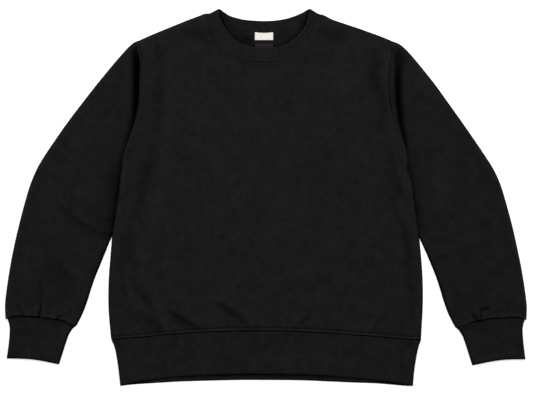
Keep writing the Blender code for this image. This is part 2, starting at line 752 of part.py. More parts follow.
def make_neck(finish):
    """The collar: a ribbed tube whose front hangs down and whose back lies flat behind it."""
    shoulder = len(SIDE_COLUMNS) - 1
    top = panel_edges()[1]
    front_seam = offset(top[shoulder:-shoulder], SEAM_GAP)
    back_seam = offset(back_neck_line(NECK_COLUMNS), SEAM_GAP)
    meet = [0.5 * (front_seam[end] + back_seam[end]) + np.array((0.0, 0.4)) for end in (0, -1)]
    front_seam[0] = back_seam[0] = meet[0]
    front_seam[-1] = back_seam[-1] = meet[1]
    front_edge = smooth(NECK_FRONT_EDGE)
    back_edge = smooth(NECK_BACK_EDGE)
    ends = []
    for side in (0, 1):
        line = columns(NECK_SIDES, *side_pair(side))
        ends.append(smooth(np.vstack((meet[side], line[1:]))))
    width = lengths(front_seam)[-1]
    return rib_band(
        "neck_rib", front_seam, front_edge, back_seam, back_edge, ends, width, NECK_ROWS, finish
    )


def make_label(name, place, finish):
    """A flat label on the inside of the back."""
    x, y, width, height = place
    corners = [(x + sx * 0.5 * width, y + sy * 0.5 * height) for sx, sy in ((-1, -1), (1, -1), (1, 1), (-1, 1))]
    low = FLEECE + SEAM_GAP
    return prism(name, corners, low, low + LABEL_WALL, finish)


def main():
    for item in list(bpy.data.objects):
        bpy.data.objects.remove(item, do_unlink=True)
    garment = bpy.data.collections.new(COLLECTION)
    bpy.context.scene.collection.children.link(garment)
    fleece = material("fleece", FLEECE_COLOR, 0.95)
    rib = material("rib", RIB_COLOR, 0.95)
    make_front_panel(fleece)
    make_back_panel(fleece)
    for side in (0, 1):
        make_sleeve(side, fleece)
        make_cuff(side, rib)
    make_hem(rib)
    make_neck(rib)
    make_label("neck_label", NECK_LABEL, material("label", LABEL_COLOR, 0.8))
    make_label("care_label", CARE_LABEL, material("care_label", CARE_COLOR, 0.7))


main()
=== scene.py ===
"""Cloth, rib knit, labels and sewing of a crewneck sweatshirt that lies flat, face up.

Run as a script in Blender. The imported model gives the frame; every piece here is a surface that
numpy works out in millimetres in that frame, and its mesh is in metres.
"""

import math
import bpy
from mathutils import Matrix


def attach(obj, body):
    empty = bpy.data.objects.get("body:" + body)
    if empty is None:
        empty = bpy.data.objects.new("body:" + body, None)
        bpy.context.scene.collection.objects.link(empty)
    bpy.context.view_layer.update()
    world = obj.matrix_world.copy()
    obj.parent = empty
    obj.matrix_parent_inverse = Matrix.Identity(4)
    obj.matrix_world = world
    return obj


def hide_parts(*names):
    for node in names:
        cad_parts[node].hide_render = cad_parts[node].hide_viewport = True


bl_info = {
    "name": "Flat-laid crewneck sweatshirt",
    "version": (1, 0, 0),
    "blender": (4, 5, 0),
    "location": "View3D > Sidebar > Sweatshirt",
    "description": "Builds the cloth, rib knit, labels and sewing of a sweatshirt laid flat",
    "category": "Object",
}

import bpy
import numpy as np
from bpy.props import FloatProperty, FloatVectorProperty, IntProperty, PointerProperty
from mathutils import Vector

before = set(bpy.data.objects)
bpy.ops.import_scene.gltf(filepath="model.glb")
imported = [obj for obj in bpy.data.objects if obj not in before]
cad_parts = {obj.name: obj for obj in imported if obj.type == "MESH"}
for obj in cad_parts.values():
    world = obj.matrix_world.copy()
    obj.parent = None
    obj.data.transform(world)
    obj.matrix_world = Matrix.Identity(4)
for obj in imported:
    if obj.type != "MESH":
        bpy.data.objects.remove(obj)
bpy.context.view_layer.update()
MM = 0.001

# The cut, in millimetres from the middle of the garment's outline -------------------------------

# Body below the underarm: height, left side, right side
SIDES = (
    (60, -274.5, 268.2), (30, -277.5, 276.2), (-5, -281.8, 281.4), (-50, -288.7, 287.6),
    (-82, -292.7, 291.4), (-116, -295.6, 294.7), (-150, -298.2, 297.1), (-184, -299.2, 297.9),
    (-218, -298.4, 297.1), (-252, -295.5, 295.1), (-269.5, -293.8, 294.3),
)

# Armhole seams from shoulder to underarm: left x, left y, right x, right y
ARMHOLES = (
    (-240.3, 298.4, 239.5, 296.9), (-236.5, 280, 237.4, 273), (-234.9, 261, 233.8, 253),
    (-235.5, 223, 231.9, 215), (-237.4, 189, 234, 186), (-242.2, 166, 238.5, 160),
    (-248.8, 143.5, 246.5, 137), (-256.4, 121, 254.7, 120), (-265, 98, 263.2, 98), (-271.6, 79, 266.9, 79),
    (-274.5, 60, 268.2, 60),
)

# Shoulder seams from neck to armhole: left x, left y, right x, right y
SHOULDERS = (
    (-114, 349.2, 107.6, 347.2), (-118.6, 348.4, 112.6, 344.9), (-124.4, 345.9, 126.4, 337.9),
    (-147.2, 337.3, 149, 330.1), (-170, 328.2, 172, 322.5), (-193, 318.8, 195, 314.3),
    (-215.6, 309.5, 217.6, 306.1), (-240.3, 298.4, 239.5, 296.9),
)

# Outer edge of the sleeves from shoulder to cuff seam: left x, left y, right x, right y
SLEEVE_OUTER = (
    (-240.3, 298.4, 239.5, 296.9), (-249.8, 294.8, 251.8, 292.2), (-260.9, 285.8, 263, 283.8),
    (-272.4, 273.3, 274.6, 271.6), (-292.6, 249.9, 293.3, 249.5), (-321, 215.2, 320.5, 215.4),
    (-347.8, 180.9, 345.5, 180.8), (-373.8, 146.8, 369.8, 146.7), (-398.1, 112.3, 393.6, 112.5),
    (-421.1, 78.2, 416.8, 78.1), (-434.4, 55.3, 431.2, 55.3), (-444.5, 32.6, 442.2, 32.5),
    (-452.3, 9.7, 450.2, 9.7), (-461.8, -24.4, 459.9, -24.5), (-470.5, -58.7, 468.8, -58.7),
    (-478.3, -92.9, 476.4, -92.9), (-485, -127.1, 483.5, -127.1), (-490.5, -161.3, 489.5, -161.3),
    (-494.9, -195.5, 494.1, -195.5), (-495.3, -214, 495.2, -214), (-494.2, -231.4, 494.1, -232.6),
)

# Inner edge of the sleeves below the body's side: left x, left y, right x, right y
SLEEVE_INNER = (
    (-292.4, -74.2, 289.6, -72), (-296, -82, 293.6, -82), (-305, -104.5, 303.7, -104.5),
    (-314.3, -127.3, 313.4, -127.3), (-323.6, -150.1, 322.5, -150.1), (-331.6, -172.9, 330.1, -172.9),
    (-338.6, -195.7, 336.9, -195.7), (-347.2, -218.5, 345.1, -218.5), (-353, -230.7, 351, -230.8),
    (-357.4, -239.2, 356, -240.4), (-361.6, -245.2, 360.4, -247.6),
)

# Cuff seams from the outer to the inner edge: left x, left y, right x, right y
CUFF_SEAMS = (
    (-494.2, -231.4, 494.1, -232.6), (-480.6, -225.9, 475.1, -227.2), (-457, -225, 449, -228.6),
    (-423.6, -227.8, 427.6, -229.4), (-404.6, -230.7, 408.6, -233.3), (-385.6, -233.6, 391.5, -236.6),
    (-373, -239.8, 377, -243.2), (-361.6, -245.2, 360.4, -247.6),
)

# Open ends of the cuffs from the outer to the inner corner: left x, left y, right x, right y
CUFF_ENDS = (
    (-492.1, -305.2, 492.4, -306.9), (-466.4, -305.6, 468.4, -306.9), (-443.6, -306.9, 445.6, -308.2),
    (-420.8, -310.5, 422.8, -311.8), (-392.6, -316.6, 391.5, -318.5),
)

# Outer sides of the cuffs: left x, left y, right x, right y
CUFF_OUTER = (
    (-491, -230.5, 491.2, -231.9), (-488.4, -236.5, 489.1, -238), (-486.6, -243, 487.3, -245),
    (-486.2, -252.5, 486.9, -252.5), (-487.9, -275.3, 488.5, -275.3), (-492.1, -305.2, 492.4, -306.9),
)

# Inner sides of the cuffs: left x, left y, right x, right y
CUFF_INNER = (
    (-362.4, -245, 361.4, -247.4), (-365, -247.2, 364.2, -250), (-368, -250.4, 367, -253.2),
    (-371.8, -255.8, 369.8, -257.2), (-375.6, -263.9, 373.6, -263.9), (-379.9, -277, 378.2, -277.1),
    (-392.6, -316.6, 391.5, -318.5),
)

# Hem seam from left to right: x, y
HEM_SEAM = (
    (-293.8, -269.5), (-269.7, -267.2), (-224.1, -263.3), (-178.5, -258.6), (-87.3, -253.3), (0, -252.2),
    (72.3, -254), (140.7, -258.1), (209.1, -263.4), (270, -268.7), (294.3, -269.5),
)

# Sides of the hem band: height, left side, right side
HEM_SIDES = (
    (-269.8, -292.8, 293.8), (-273.6, -291.9, 293.4), (-278.4, -289.1, 291), (-287, -286.4, 288.6),
    (-309.5, -282.2, 284.2), (-332.3, -279.3, 281), (-357.5, -276.4, 279),
)

# Lower edge of the hem band: x, front edge, back edge
HEM_EDGES = (
    (-276.4, -357.5, -357.5), (-246.9, -350.4, -354.5), (-201.3, -343.7, -351.6), (-155.7, -339, -349.1),
    (-64.5, -335.2, -346.7), (0, -334.9, -346.5), (68, -335.8, -347.1), (117.9, -338.4, -349.2),
    (163.5, -342.4, -351.2), (209.1, -346.6, -352.8), (251, -352.4, -356.3), (266, -355.4, -357.6),
    (279, -357.5, -357.5),
)

# Neck, left fold to right fold: x, y of each line
NECK_FRONT_SEAM = (
    (-114, 349.2), (-109.5, 326), (-101.2, 307), (-91.1, 290.5), (-70.2, 274), (-51.6, 264.7),
    (-28, 258.3), (-1.8, 256.7), (24, 258.8), (43.8, 264.5), (64.7, 274.5), (85.2, 292.6), (97.6, 313.3),
    (103.5, 332), (107.6, 347.2),
)
NECK_FRONT_EDGE = (
    (-88.4, 358.4), (-87.6, 343), (-80.5, 327.9), (-72.1, 313.5), (-59.8, 301.2), (-45.5, 291.6),
    (-27, 285.9), (-3.7, 284.4), (19, 285.4), (38.2, 290.8), (55.4, 303.2), (65.2, 313.4), (71.2, 321.7),
    (78.2, 338.2), (82.6, 358.4),
)
NECK_BACK_SEAM = (
    (-114, 349.2), (-94.9, 333.8), (-74, 322.6), (-47.4, 316.6), (0, 314.4), (45.7, 316.8), (68.5, 324),
    (89.4, 335), (107.6, 347.2),
)
NECK_BACK_EDGE = (
    (-88.4, 358.4), (-78.6, 351.8), (-67.4, 344.9), (-44.6, 338.6), (-21.8, 336.1), (1, 335.5),
    (23.8, 337.1), (46.6, 342), (69.4, 351.2), (76, 355.5), (82.6, 358.4),
)

# Folded sides of the collar, from the seam to the top: left x, left y, right x, right y
NECK_SIDES = (
    (-114, 349.2, 107.6, 347.2), (-109, 349.3, 103.5, 347.6), (-103.5, 351, 98, 349.6),
    (-96.5, 354.8, 91, 353.7), (-91.5, 357.6, 86.2, 356.9), (-88.4, 358.4, 82.6, 358.4),
)

# How the cloth lies ------------------------------------------------------------------------------

# Creases of the front layer: start x, start y, end x, end y, bow, lean, half width, height, shade.
# The height shapes the cloth; the shade is painted shade in its colour, and below 0 a painted
# highlight. The side that it leans to is the steep one, with a painted light ridge beside it.
# The widest, flattest rows are little more than painted shade and light.
CREASES = (
    (-240, -213, -194, -260, 1, 0.3, 11, -1.5, 0.42),
    (-189, -210.5, -124, -249.5, 0, 0.45, 9.5, -1.8, 0.56),
    (-102, -197, -30, -249, 5.5, 0, 7.5, -1.9, 0.5), (-250, -219, -238, -246, 0, 0, 5, -0.6, 0.12),
    (-150, -243, -140, -262, 0, 0, 4, 0.4, -0.12), (55, -247, 87, -225, 2, 0, 5.5, -1.2, 0.4),
    (225.5, -220, 221, -244, 0, 0, 4.5, -0.7, 0.2), (213.5, -227, 202, -258, 0, -0.2, 5, -1.3, 0.36),
    (136.5, -234, 137, -258, 0, 0, 4, -0.6, 0.2), (267, -73, 277, -236, 2, 0, 9, -1.1, 0.2),
    (-252, -100, -182, -235, 0, 0, 14, 0.7, 0), (-224, -114, -223, -148, 0, 0, 9, -0.7, 0.14),
    (-277, -88, -264, -122, 0, 0, 8, -0.8, 0.16), (-203, 92, -253, 10, 3, -0.2, 11, -0.9, 0.14),
    (235, 96, 266, -6, -3, 0.3, 8, -1.3, 0.3), (222, 38, 266, -74, 0, 0, 8, -0.7, 0.14),
    (-205, 290, -204, 245, 0, 0, 14, -0.5, 0.26), (208, 285, 209, 188, 0, 0, 14, -0.5, 0.32),
    (-243.8, 286, -237.4, 260, 0, 0, 3, 0.3, -0.34), (-168, 324, -145, 309, 0, 0, 9, -0.5, 0.14),
    (157, 321, 134, 308, 0, 0, 9, -0.5, 0.14), (-398, -6, -296, -75, -9, 0.3, 8, -1.3, 0.27),
    (-340, -14, -294, -46, 0, 0, 6, -0.5, 0.08), (-326, -40, -284, -44, 0, 0, 5.5, -0.6, 0.12),
    (-402, -114, -360, -182, 2, 0, 7, -0.8, 0.17), (-306, 218, -276, 112, 4, 0, 14, -0.5, 0.05),
    (-450, 52, -410, 22, 3, 0, 12, -0.4, 0.05), (304, -77, 332, -82, 0, 0, 5.5, -0.7, 0.24),
    (324, -108, 352, -113, 0, 0, 5.5, -0.7, 0.2), (376, -92, 392, -108, 0, 0, 9, -0.6, 0.1),
    (304, 216, 278, 108, -4, 0, 14, -0.5, 0.05), (-430, -150, -428, -205, 0, 0, 8, -1, 0.3),
    (-424.5, -198, -433, -248, 0, 0.4, 3.4, -1.6, 0.8), (-400, -235, -386, -222, 2, 0, 3, -0.9, 0.62),
    (-473, -198, -460, -226, 0, 0.2, 5.5, -0.9, 0.32), (-409, -204, -409, -218, 0, 0, 4, -0.4, 0.14),
    (-371, -203, -371, -222, 0, 0, 4, -0.6, 0.22), (-443.5, -208, -440, -226, 0, 0, 4, -0.5, 0.14),
    (388, -216, 408, -240, -2, -0.4, 3.4, -1.6, 0.78), (426, -209, 402, -214, 0, 0.2, 4.4, -1.4, 0.55),
    (406.5, -215, 409, -234, 0, 0, 2.8, -1.2, 0.45), (430, -222, 456, -220, 0, 0, 4, 0.5, -0.22),
    (471, -198, 473, -226, 0, 0, 4, -0.7, 0.14), (-104, -251.3, -68, -250.2, 0, 0, 2.4, 0.2, -0.3),
    (62, -250.6, 102, -252.8, 0, 0, 2.4, 0.2, -0.36), (-158, 318, -108, 303, 0, 0, 15, -0.3, 0.36),
    (98, 322, 160, 294, 0, 0, 14, -0.3, 0.33), (-203, 235, -206, 115, 0, 0, 15, -0.3, 0.27),
    (-216, 108, -248, -44, 0, 0, 17, -0.3, 0.27), (-258, -38, -257, -130, 0, 0, 13, -0.3, 0.25),
    (222, 204, 217, 116, 0, 0, 13, -0.3, 0.27), (198, 92, 206, 62, 0, 0, 9, -0.2, 0.12),
    (224, 54, 260, -6, 0, 0, 13, -0.3, 0.3), (259, -42, 272, -120, 0, 0, 11, -0.3, 0.26),
    (-262, -136, -194, -254, 0, 0, 9, -0.5, 0.27), (-278, -90, -268, -200, 0, 0, 7, -0.3, 0.18),
    (-406, -66, -392, -204, 0, 0, 38, -0.2, 0.13), (298, 272, 308, 192, 0, 0, 15, 0.2, -0.3),
    (142, 266, 130, 190, 0, 0, 38, 0.2, -0.13), (342, 72, 322, -28, 0, 0, 24, 0.2, -0.18),
    (-352, 14, -336, -24, 0, 0, 20, 0.2, -0.13), (-306, -92, -330, -152, 0, 0, 11, -0.3, 0.22),
)
# The same for the fronts of the rib bands
BAND_CREASES = (
    (-281.5, -262, -279, -286, 0, 0, 6, -0.5, 0.28), (-173, -256, -170, -284, 0, 0, 6, -0.5, 0.28),
    (-88, -250, -84, -286, 0, 0, 9, -0.4, 0.18), (38, -250, 36, -278, 0, 0, 6, -0.5, 0.25),
    (182.5, -258, 184, -284, 0, 0, 6, -0.5, 0.28), (274, -266, 272, -288, 0, 0, 6, -0.5, 0.28),
    (366, -250.5, 396, -243.5, 0, 0, 2.8, -0.4, 0.34), (400, -305, 422, -306.5, 0, 0, 5, 0.2, -0.45),
    (-40, -305, 250, -312, 0, 0, 18, 0.1, -0.12), (404, -298, 488, -295, 0, 0, 9, 0.1, -0.16),
    (-470, -256, -414, -254, 0, 0, 11, -0.1, 0.18),
)
# The same for the inside of the collar, where the rows are painted shade only, with no height
INSIDE_CREASES = (
    (-83, 356, -68, 322, 0, 0, 8, 0, 0.32), (80, 350, 62, 318, 0, 0, 7, 0, 0.14),
)

# Pleat where a sleeve folds in under the body, left and right. Each row holds the share of the
# armhole from the shoulder, how far from the seam the crest's edge lies, how far the painted shade
# under it reaches, over what width that fades, how dark that painted shade is, and over what width
# the crest darkens with it.
PLEATS = (
    (
        (0, 5.5, 8, 6, 0, 2), (0.03, 6.5, 10, 8, 0, 2), (0.07, 8.6, 12, 12, 0.68, 2),
        (0.12, 5.2, 14.5, 9, 0.82, 2), (0.2, 5.2, 11.8, 16, 0.96, 2), (0.3, 5.2, 10.5, 14, 1, 2),
        (0.4, 5, 7.8, 18, 1, 2), (0.48, 3.8, 6, 18, 1, 2), (0.56, 2.2, 3, 19, 1, 2),
        (0.64, 0.8, 0, 20, 0.86, 2), (0.72, 0.4, -1, 17, 0.72, 2), (0.8, 0.3, 0, 14, 0.45, 2),
        (0.88, 0.3, 1, 14, 0.16, 2), (0.96, 0.3, 1, 14, 0.12, 2), (1, 0.3, 1, 10, 0.1, 2),
    ),
    (
        (0, 10, 16, 8, 0, 6), (0.03, 11, 17, 8, 0, 6), (0.07, 13.5, 18, 8, 0.42, 6),
        (0.12, 9.5, 20.5, 14, 0.54, 5), (0.2, 13.5, 19, 14, 0.72, 6), (0.3, 15.5, 19, 13, 0.87, 8),
        (0.4, 15.6, 18.2, 14, 0.86, 8), (0.48, 14.5, 15.5, 17, 0.97, 7.5), (0.56, 13.2, 13.8, 17, 0.93, 7),
        (0.64, 8.4, 9, 20, 0.95, 3.5), (0.72, 5.2, 6.5, 16, 0.76, 3), (0.8, 0.8, 1, 15, 0.75, 2),
        (0.88, 0.4, 1, 12, 0.24, 2), (0.96, 0.3, 1, 10, 0.18, 2), (1, 0.3, 1, 10, 0.1, 2),
    ),
)

# Section of the pleat from the armhole seam outwards: share of the strip, share of the gap,
# height, and 1 where the cloth is turned back under its own crest, which there gets the pleat's
# full painted shade
PLEAT_SECTION = (
    (0, 0, 0.88, 0), (0.25, 0, 0.97, 0), (0.5, 0, 1, 0), (0.72, 0, 1, 0), (0.9, 0, 0.92, 0),
    (1, 0, 0.74, 0.2), (1.03, 0, 0.52, 0.8), (0.98, 0, 0.32, 1), (0.88, 0, 0.14, 1), (0.84, 0.05, 0.03, 1),
    (0.9, 0.22, 0, 1), (1, 0.5, 0.01, 0), (1, 0.8, 0.08, 0), (1, 1.05, 0.15, 0), (1, 1.35, 0.25, 0),
    (1, 1.75, 0.38, 0), (1, 2.4, 0.6, 0), (1, 3.2, 0.82, 0), (1, 4.1, 0.95, 0), (1, 5.2, 1, 0),
)

# How sharp the armhole seam is, left and right, by share of the armhole from the shoulder. It sets
# the seam's relief, and also a painted dark line in the seam and a painted light ridge beside it
ARMHOLE_SHARP = (
    (
        (0, 0.15), (1, 0.15),
    ),
    (
        (0.05, 0), (0.12, 0.6), (0.3, 1), (0.5, 1), (0.6, 0.5), (0.7, 0.2), (0.78, 0),
    ),
)

# Painted shadow that the body's side casts on the sleeve beside it, left and right: depth, reach,
# a dark line right beside it, and the height where it ends
SIDE_SHADE = ((0.80, 15.0, 0.0, -90.0), (0.62, 9.0, 0.12, -74.0))

# How dark the painted shade in the cuff seams is, left and right, by the share from the outer to
# the inner edge
CUFF_SEAM_DEPTHS = (
    (
        (0, 0.4), (0.04, 0.6), (0.08, 1), (0.3, 0.9), (0.4, 1.15), (0.5, 0.9), (0.66, 0.9), (0.76, 1.1),
        (0.88, 0.75), (0.96, 0.9), (1, 1.15),
    ),
    (
        (0, 0.3), (0.05, 0.7), (0.12, 1), (0.5, 0.95), (0.6, 1.15), (0.7, 1.1), (0.84, 0.9), (0.9, 0.6),
        (0.95, 0.25), (1, 0.25),
    ),
)

# The same for the front neck seam, from the left fold to the right one
NECK_SEAM_DEPTHS = (
    (0, 0.7), (0.08, 0.6), (0.16, 0.2), (0.3, 0.2), (0.38, 0.9), (0.46, 1), (0.58, 1), (0.66, 0.6),
    (0.74, 0.25), (1, 0.2),
)

# Painted shades of the rib bands: at the seam, how wide that is, the painted light ridge beside it
# and the fall behind it; at the free edge (below 0 a painted light rim), and its reach; at the near
# and the far fold; and, on the layer behind, the painted shadow close to the front's free edge and
# further off, and painted shade at its own free edge, at its seam and at the folds
BAND_TONES = ("seam", "spread", "ridge", "fall", "rim", "rim_reach", "near", "far", "close", "further",
              "lip", "inner_seam", "tips")
BAND_SHADES = {
    "hem_band": (0.95, 1.3, 0.14, 0.08, 0.85, 2.2, 0.35, 0.35, 0.95, 0, 0.6, 0, 0),
    "cuff_band_left": (0.8, 1.8, 0, 0.28, 1, 2.8, -0.1, 0.8, 0, 0, 0, 0, 0),
    "cuff_band_right": (0.8, 1.8, 0, 0.16, 1, 2.8, -0.1, 0.8, 0, 0, 0, 0, 0),
    "neck_band": (0.45, 1.2, 0.08, 0, -0.3, 2.2, 0, 0, 0.9, 0.36, 0, 0.5, 0.7),
}

LOFT_REACH = 30.0           # distance over which the front layer rises from a closed edge
MOST_RISE = 4.4             # most that it rises there
FOLD_FADE = 6.0             # distance over which creases come in from a closed edge
EDGE_STEPS = (0.0, 0.45, 1.0, 1.7, 2.6, 3.7, 5.0, 6.4, 8.2, 10.4)       # grid lines at a fine edge
FOLD_ANGLES = np.radians(np.arange(75.0, -76.0, -15.0))                 # steps down round a fold
SEAM_LAP = 0.45             # each piece runs this far under its neighbour at a seam
SIDE_TUCK = 3.0             # the body's side lies this far over the sleeve beside it
UNDERARM, PARTING = 58.0, -92.0     # heights between which it does so
THIN_FRONT, THIN_SLEEVE = 0.4, 0.5  # least thickness of the front panel and of a sleeve
SLEEVE_WIDTH = 150.0        # widths of the pieces, as they lie
HEM_WIDTH, CUFF_WIDTH, NECK_WIDTH = 583.0, 122.0, 305.0
SLEEVE_STEP = 1.7           # width of a face of the sleeves
PLEAT_ROWS = 46             # rows of points through a pleat
RIB_SIDES = 8               # faces across one rib
WAVES = 22                  # soft swells that make up the lie of the cloth
SWELL_LENGTHS = (45.0, 170.0)       # shortest and longest of them
SWELL_PEAK = 1.6            # brings their sum near 1 where it is highest
CREST_ON_BODY = 0.62        # share of the armhole crest's height that the body cloth takes
OVER_SLEEVE = 5.1           # height of the body's side where it lies over a sleeve
PLEAT_SEARCH = (90.0, 121)  # how far down a column the pleat's end is looked for, and in how many steps
PLEAT_GAPS = (3.0, 14.0)    # narrowest and widest hollow under the crest
SLEEVE_ROWS = 150.0         # even rows of points down a sleeve
SLEEVE_RUN = 400.0          # length of a column that sets the shares of its last grid lines
BACK_COLUMNS = 26           # columns of points on the back of a sleeve
INNER_RINGS = [0, 2, 4, 9, 14, -10, -6, -3, -1]     # of a tall band's rings, those that its inside has
BAND_ROWS = 7.0             # even rows between a band's fine edges
BAND_CROWN = 0.35           # rise of a band's middle
LABEL_WALL = 0.55           # thickness of a label
STITCH_FILL, STITCH_ARCH = 0.82, 0.15       # share of its length that a stitch fills, and its arch
SHARP_ANGLE = math.radians(60.0)    # edges sharper than this are shaded as corners
TOPSTITCH = (5.3, 6.6)      # two rows of stitches, by their distance from the seam
FLOOR_SPAN, FLOOR_DROP = 12.0, 0.0002       # half its width, and how far it lies below, in metres
CLOTH_MIDDLE = 0.004        # height at which the camera's field is measured, in metres


# Sizes and colours that a user would change ------------------------------------------------------

class SweatshirtCloth(bpy.types.PropertyGroup):
    """Cloth, rib and sewing."""

    fleece_wall: FloatProperty(name="Fleece", description="Thickness of the fleece",
                               default=0.0022, unit="LENGTH")
    rib_wall: FloatProperty(name="Rib band", description="Thickness of the doubled rib",
                            default=0.0024, unit="LENGTH")
    rib_relief: FloatProperty(name="Rib height", description="Height of a rib above the band",
                              default=0.0005, unit="LENGTH")
    rib_pitch: FloatProperty(name="Rib pitch", description="Distance from one rib to the next",
                             default=0.0042, unit="LENGTH")
    layer_gap: FloatProperty(name="Layer gap", description="Air between two layers where they lie close",
                             default=0.0003, unit="LENGTH")
    loft: FloatProperty(name="Loft", description="Most that the front layer stands off the back layer",
                        default=0.0026, unit="LENGTH")
    crest: FloatProperty(name="Armhole crest", description="Rise of the cloth beside the armhole pleat",
                         default=0.0017, unit="LENGTH")
    swell: FloatProperty(name="Swell", description="Height of the soft unevenness of the cloth",
                         default=0.00034, unit="LENGTH")
    grid: FloatProperty(name="Grid", description="Size of a face of the body cloth",
                        default=0.0033, unit="LENGTH")
    stitch: FloatProperty(name="Stitch", description="Length of one stitch",
                          default=0.0032, unit="LENGTH")
    thread: FloatProperty(name="Thread", description="Thickness of the sewing thread",
                          default=0.00045, unit="LENGTH")
    seed: IntProperty(name="Seed", description="Seed of the cloth's unevenness", default=7)


class SweatshirtColors(bpy.types.PropertyGroup):
    """Colours."""

    fleece: FloatVectorProperty(name="Fleece", description="Outer face of the fleece", subtype="COLOR",
                                size=3, default=(0.0093, 0.0093, 0.0093), min=0.0, max=1.0)
    # The inside is a little darker than the face; that partly paints the shade inside the neck, where it
    # shows
    inside: FloatVectorProperty(name="Inside", description="Brushed inside of the fleece", subtype="COLOR",
                                size=3, default=(0.0080, 0.0080, 0.0080), min=0.0, max=1.0)
    rib: FloatVectorProperty(name="Rib", description="Rib knit", subtype="COLOR",
                             size=3, default=(0.0093, 0.0093, 0.0093), min=0.0, max=1.0)
    thread: FloatVectorProperty(name="Thread", description="Sewing thread", subtype="COLOR",
                                size=3, default=(0.0050, 0.0050, 0.0050), min=0.0, max=1.0)
    label: FloatVectorProperty(name="Label", description="Woven neck label", subtype="COLOR",
                               size=3, default=(0.70, 0.675, 0.62), min=0.0, max=1.0)
    tape: FloatVectorProperty(name="Tape", description="Dark label below it", subtype="COLOR",
                              size=3, default=(0.0086, 0.0086, 0.0086), min=0.0, max=1.0)
    floor: FloatVectorProperty(name="Floor", description="Surface that it lies on", subtype="COLOR",
                               size=3, default=(0.93, 0.93, 0.93), min=0.0, max=1.0)


class SweatshirtStage(bpy.types.PropertyGroup):
    """Floor, light and camera."""

    lens: FloatProperty(name="Lens", description="Focal length in millimetres", default=85.0)
    field: FloatProperty(name="Field", description="Width that the camera takes in",
                         default=1.0111, unit="LENGTH")
    aim_x: FloatProperty(name="Aim X", description="Point under the camera", default=0.001, unit="LENGTH")
    aim_y: FloatProperty(name="Aim Y", description="Point under the camera", default=-0.0046, unit="LENGTH")
    key: FloatProperty(name="Key", description="Power of the large soft light in watts", default=21.5)
    fill: FloatProperty(name="Fill", description="Strength of the fill light", default=0.6)
    ambient: FloatProperty(name="Ambient", description="Strength of the light from all around",
                           default=0.5)
    glow: FloatProperty(name="Floor glow", description="Light that the floor gives off", default=0.28)


def cloth():
    """The cloth settings, with every length in millimetres."""
    group = bpy.context.scene.sweatshirt_cloth
    lengths_in_m = ("fleece_wall", "rib_wall", "rib_relief", "rib_pitch", "layer_gap", "loft", "crest",
                    "swell", "grid", "stitch", "thread")
    return {name: getattr(group, name) / MM for name in lengths_in_m}


# Lines and sheets --------------------------------------------------------------------------------

def columns(table, first, second):
    """Two columns of a table as an array of points."""
    return np.array(table, dtype=float)[:, (first, second)]


def pair_of(table, side):
    """The left (0) or right (1) line of a table that holds left x, left y, right x, right y."""
    return columns(table, 2 * side, 2 * side + 1)


def by_height(table, side):
    """The left (0) or right (1) line of a table that holds height, left x, right x."""
    rows = np.array(table, dtype=float)
    return np.column_stack((rows[:, 1 + side], rows[:, 0]))


def smooth(points, step=3.0):
    """A Catmull-Rom curve through the points, as a dense polyline.

    Between two points it is the cubic whose slopes there are half the chord of their neighbours.
    """
    points = np.asarray(points, dtype=float)
    guide = np.vstack((2.0 * points[0] - points[1], points, 2.0 * points[-1] - points[-2]))
    pieces = []
    for p0, p1, p2, p3 in zip(guide[:-3], guide[1:-2], guide[2:-1], guide[3:]):
        count = max(2, int(np.linalg.norm(p2 - p1) / step))
        t = np.linspace(0.0, 1.0, count, endpoint=False)[:, None]
        pieces.append(0.5 * (2.0 * p1 + (p2 - p0) * t
                             + (2.0 * p0 - 5.0 * p1 + 4.0 * p2 - p3) * t ** 2
                             + (3.0 * p1 - p0 - 3.0 * p2 + p3) * t ** 3))
    pieces.append(points[-1:])
    return np.vstack(pieces)


def run_of(line):
    """Distance run along a polyline at each of its points."""
    return np.concatenate(((0.0,), np.cumsum(np.linalg.norm(np.diff(line, axis=0), axis=1))))


def along(line, fractions):
    """Points of a polyline at fractions of its length; an array of fractions of any shape."""
    run = run_of(line)
    wanted = np.asarray(fractions, dtype=float) * run[-1]
    return np.stack([np.interp(wanted, run, line[:, axis]) for axis in range(line.shape[1])], axis=-1)


def offset(line, gap):
    """A polyline moved by gap to the left of its direction."""
    ahead = np.gradient(line, axis=0)
    ahead /= np.linalg.norm(ahead, axis=1)[:, None]
    return line + gap * np.stack((-ahead[:, 1], ahead[:, 0]), axis=1)


def nearest(line, x, y):
    """Distance of each point (x, y) from a polyline, and the share of its length run there."""
    best = np.full(np.shape(x), 1e9)
    place = np.zeros(np.shape(x))
    run = run_of(line)
    for index, ((ax, ay), (bx, by)) in enumerate(zip(line[:-1], line[1:])):
        run_x, run_y = bx - ax, by - ay
        share = ((x - ax) * run_x + (y - ay) * run_y) / max(run_x ** 2 + run_y ** 2, 1e-9)
        share = np.clip(share, 0.0, 1.0)
        gap = (x - ax - share * run_x) ** 2 + (y - ay - share * run_y) ** 2
        place = np.where(gap < best, run[index] + share * (run[index + 1] - run[index]), place)
        best = np.minimum(best, gap)
    return np.sqrt(best), place / run[-1]


def distance(line, x, y):
    """Distance of each point (x, y) from a polyline: the least over its segments."""
    return nearest(line, x, y)[0]


def patch(edges, corners, a, d):
    """A sheet filled in between points on its four edges (a Coons patch).

    The two ruled sheets between opposite edges are added, and the bilinear sheet through the four
    corners is taken off. The edges are those at d = 0 and 1 and at a = 0 and 1.
    """
    first, last, near, far = edges
    c00, c01, c10, c11 = corners
    ruled = (1.0 - d) * first + d * last + (1.0 - a) * near + a * far
    return ruled - ((1.0 - d) * ((1.0 - a) * c00 + a * c01) + d * ((1.0 - a) * c10 + a * c11))


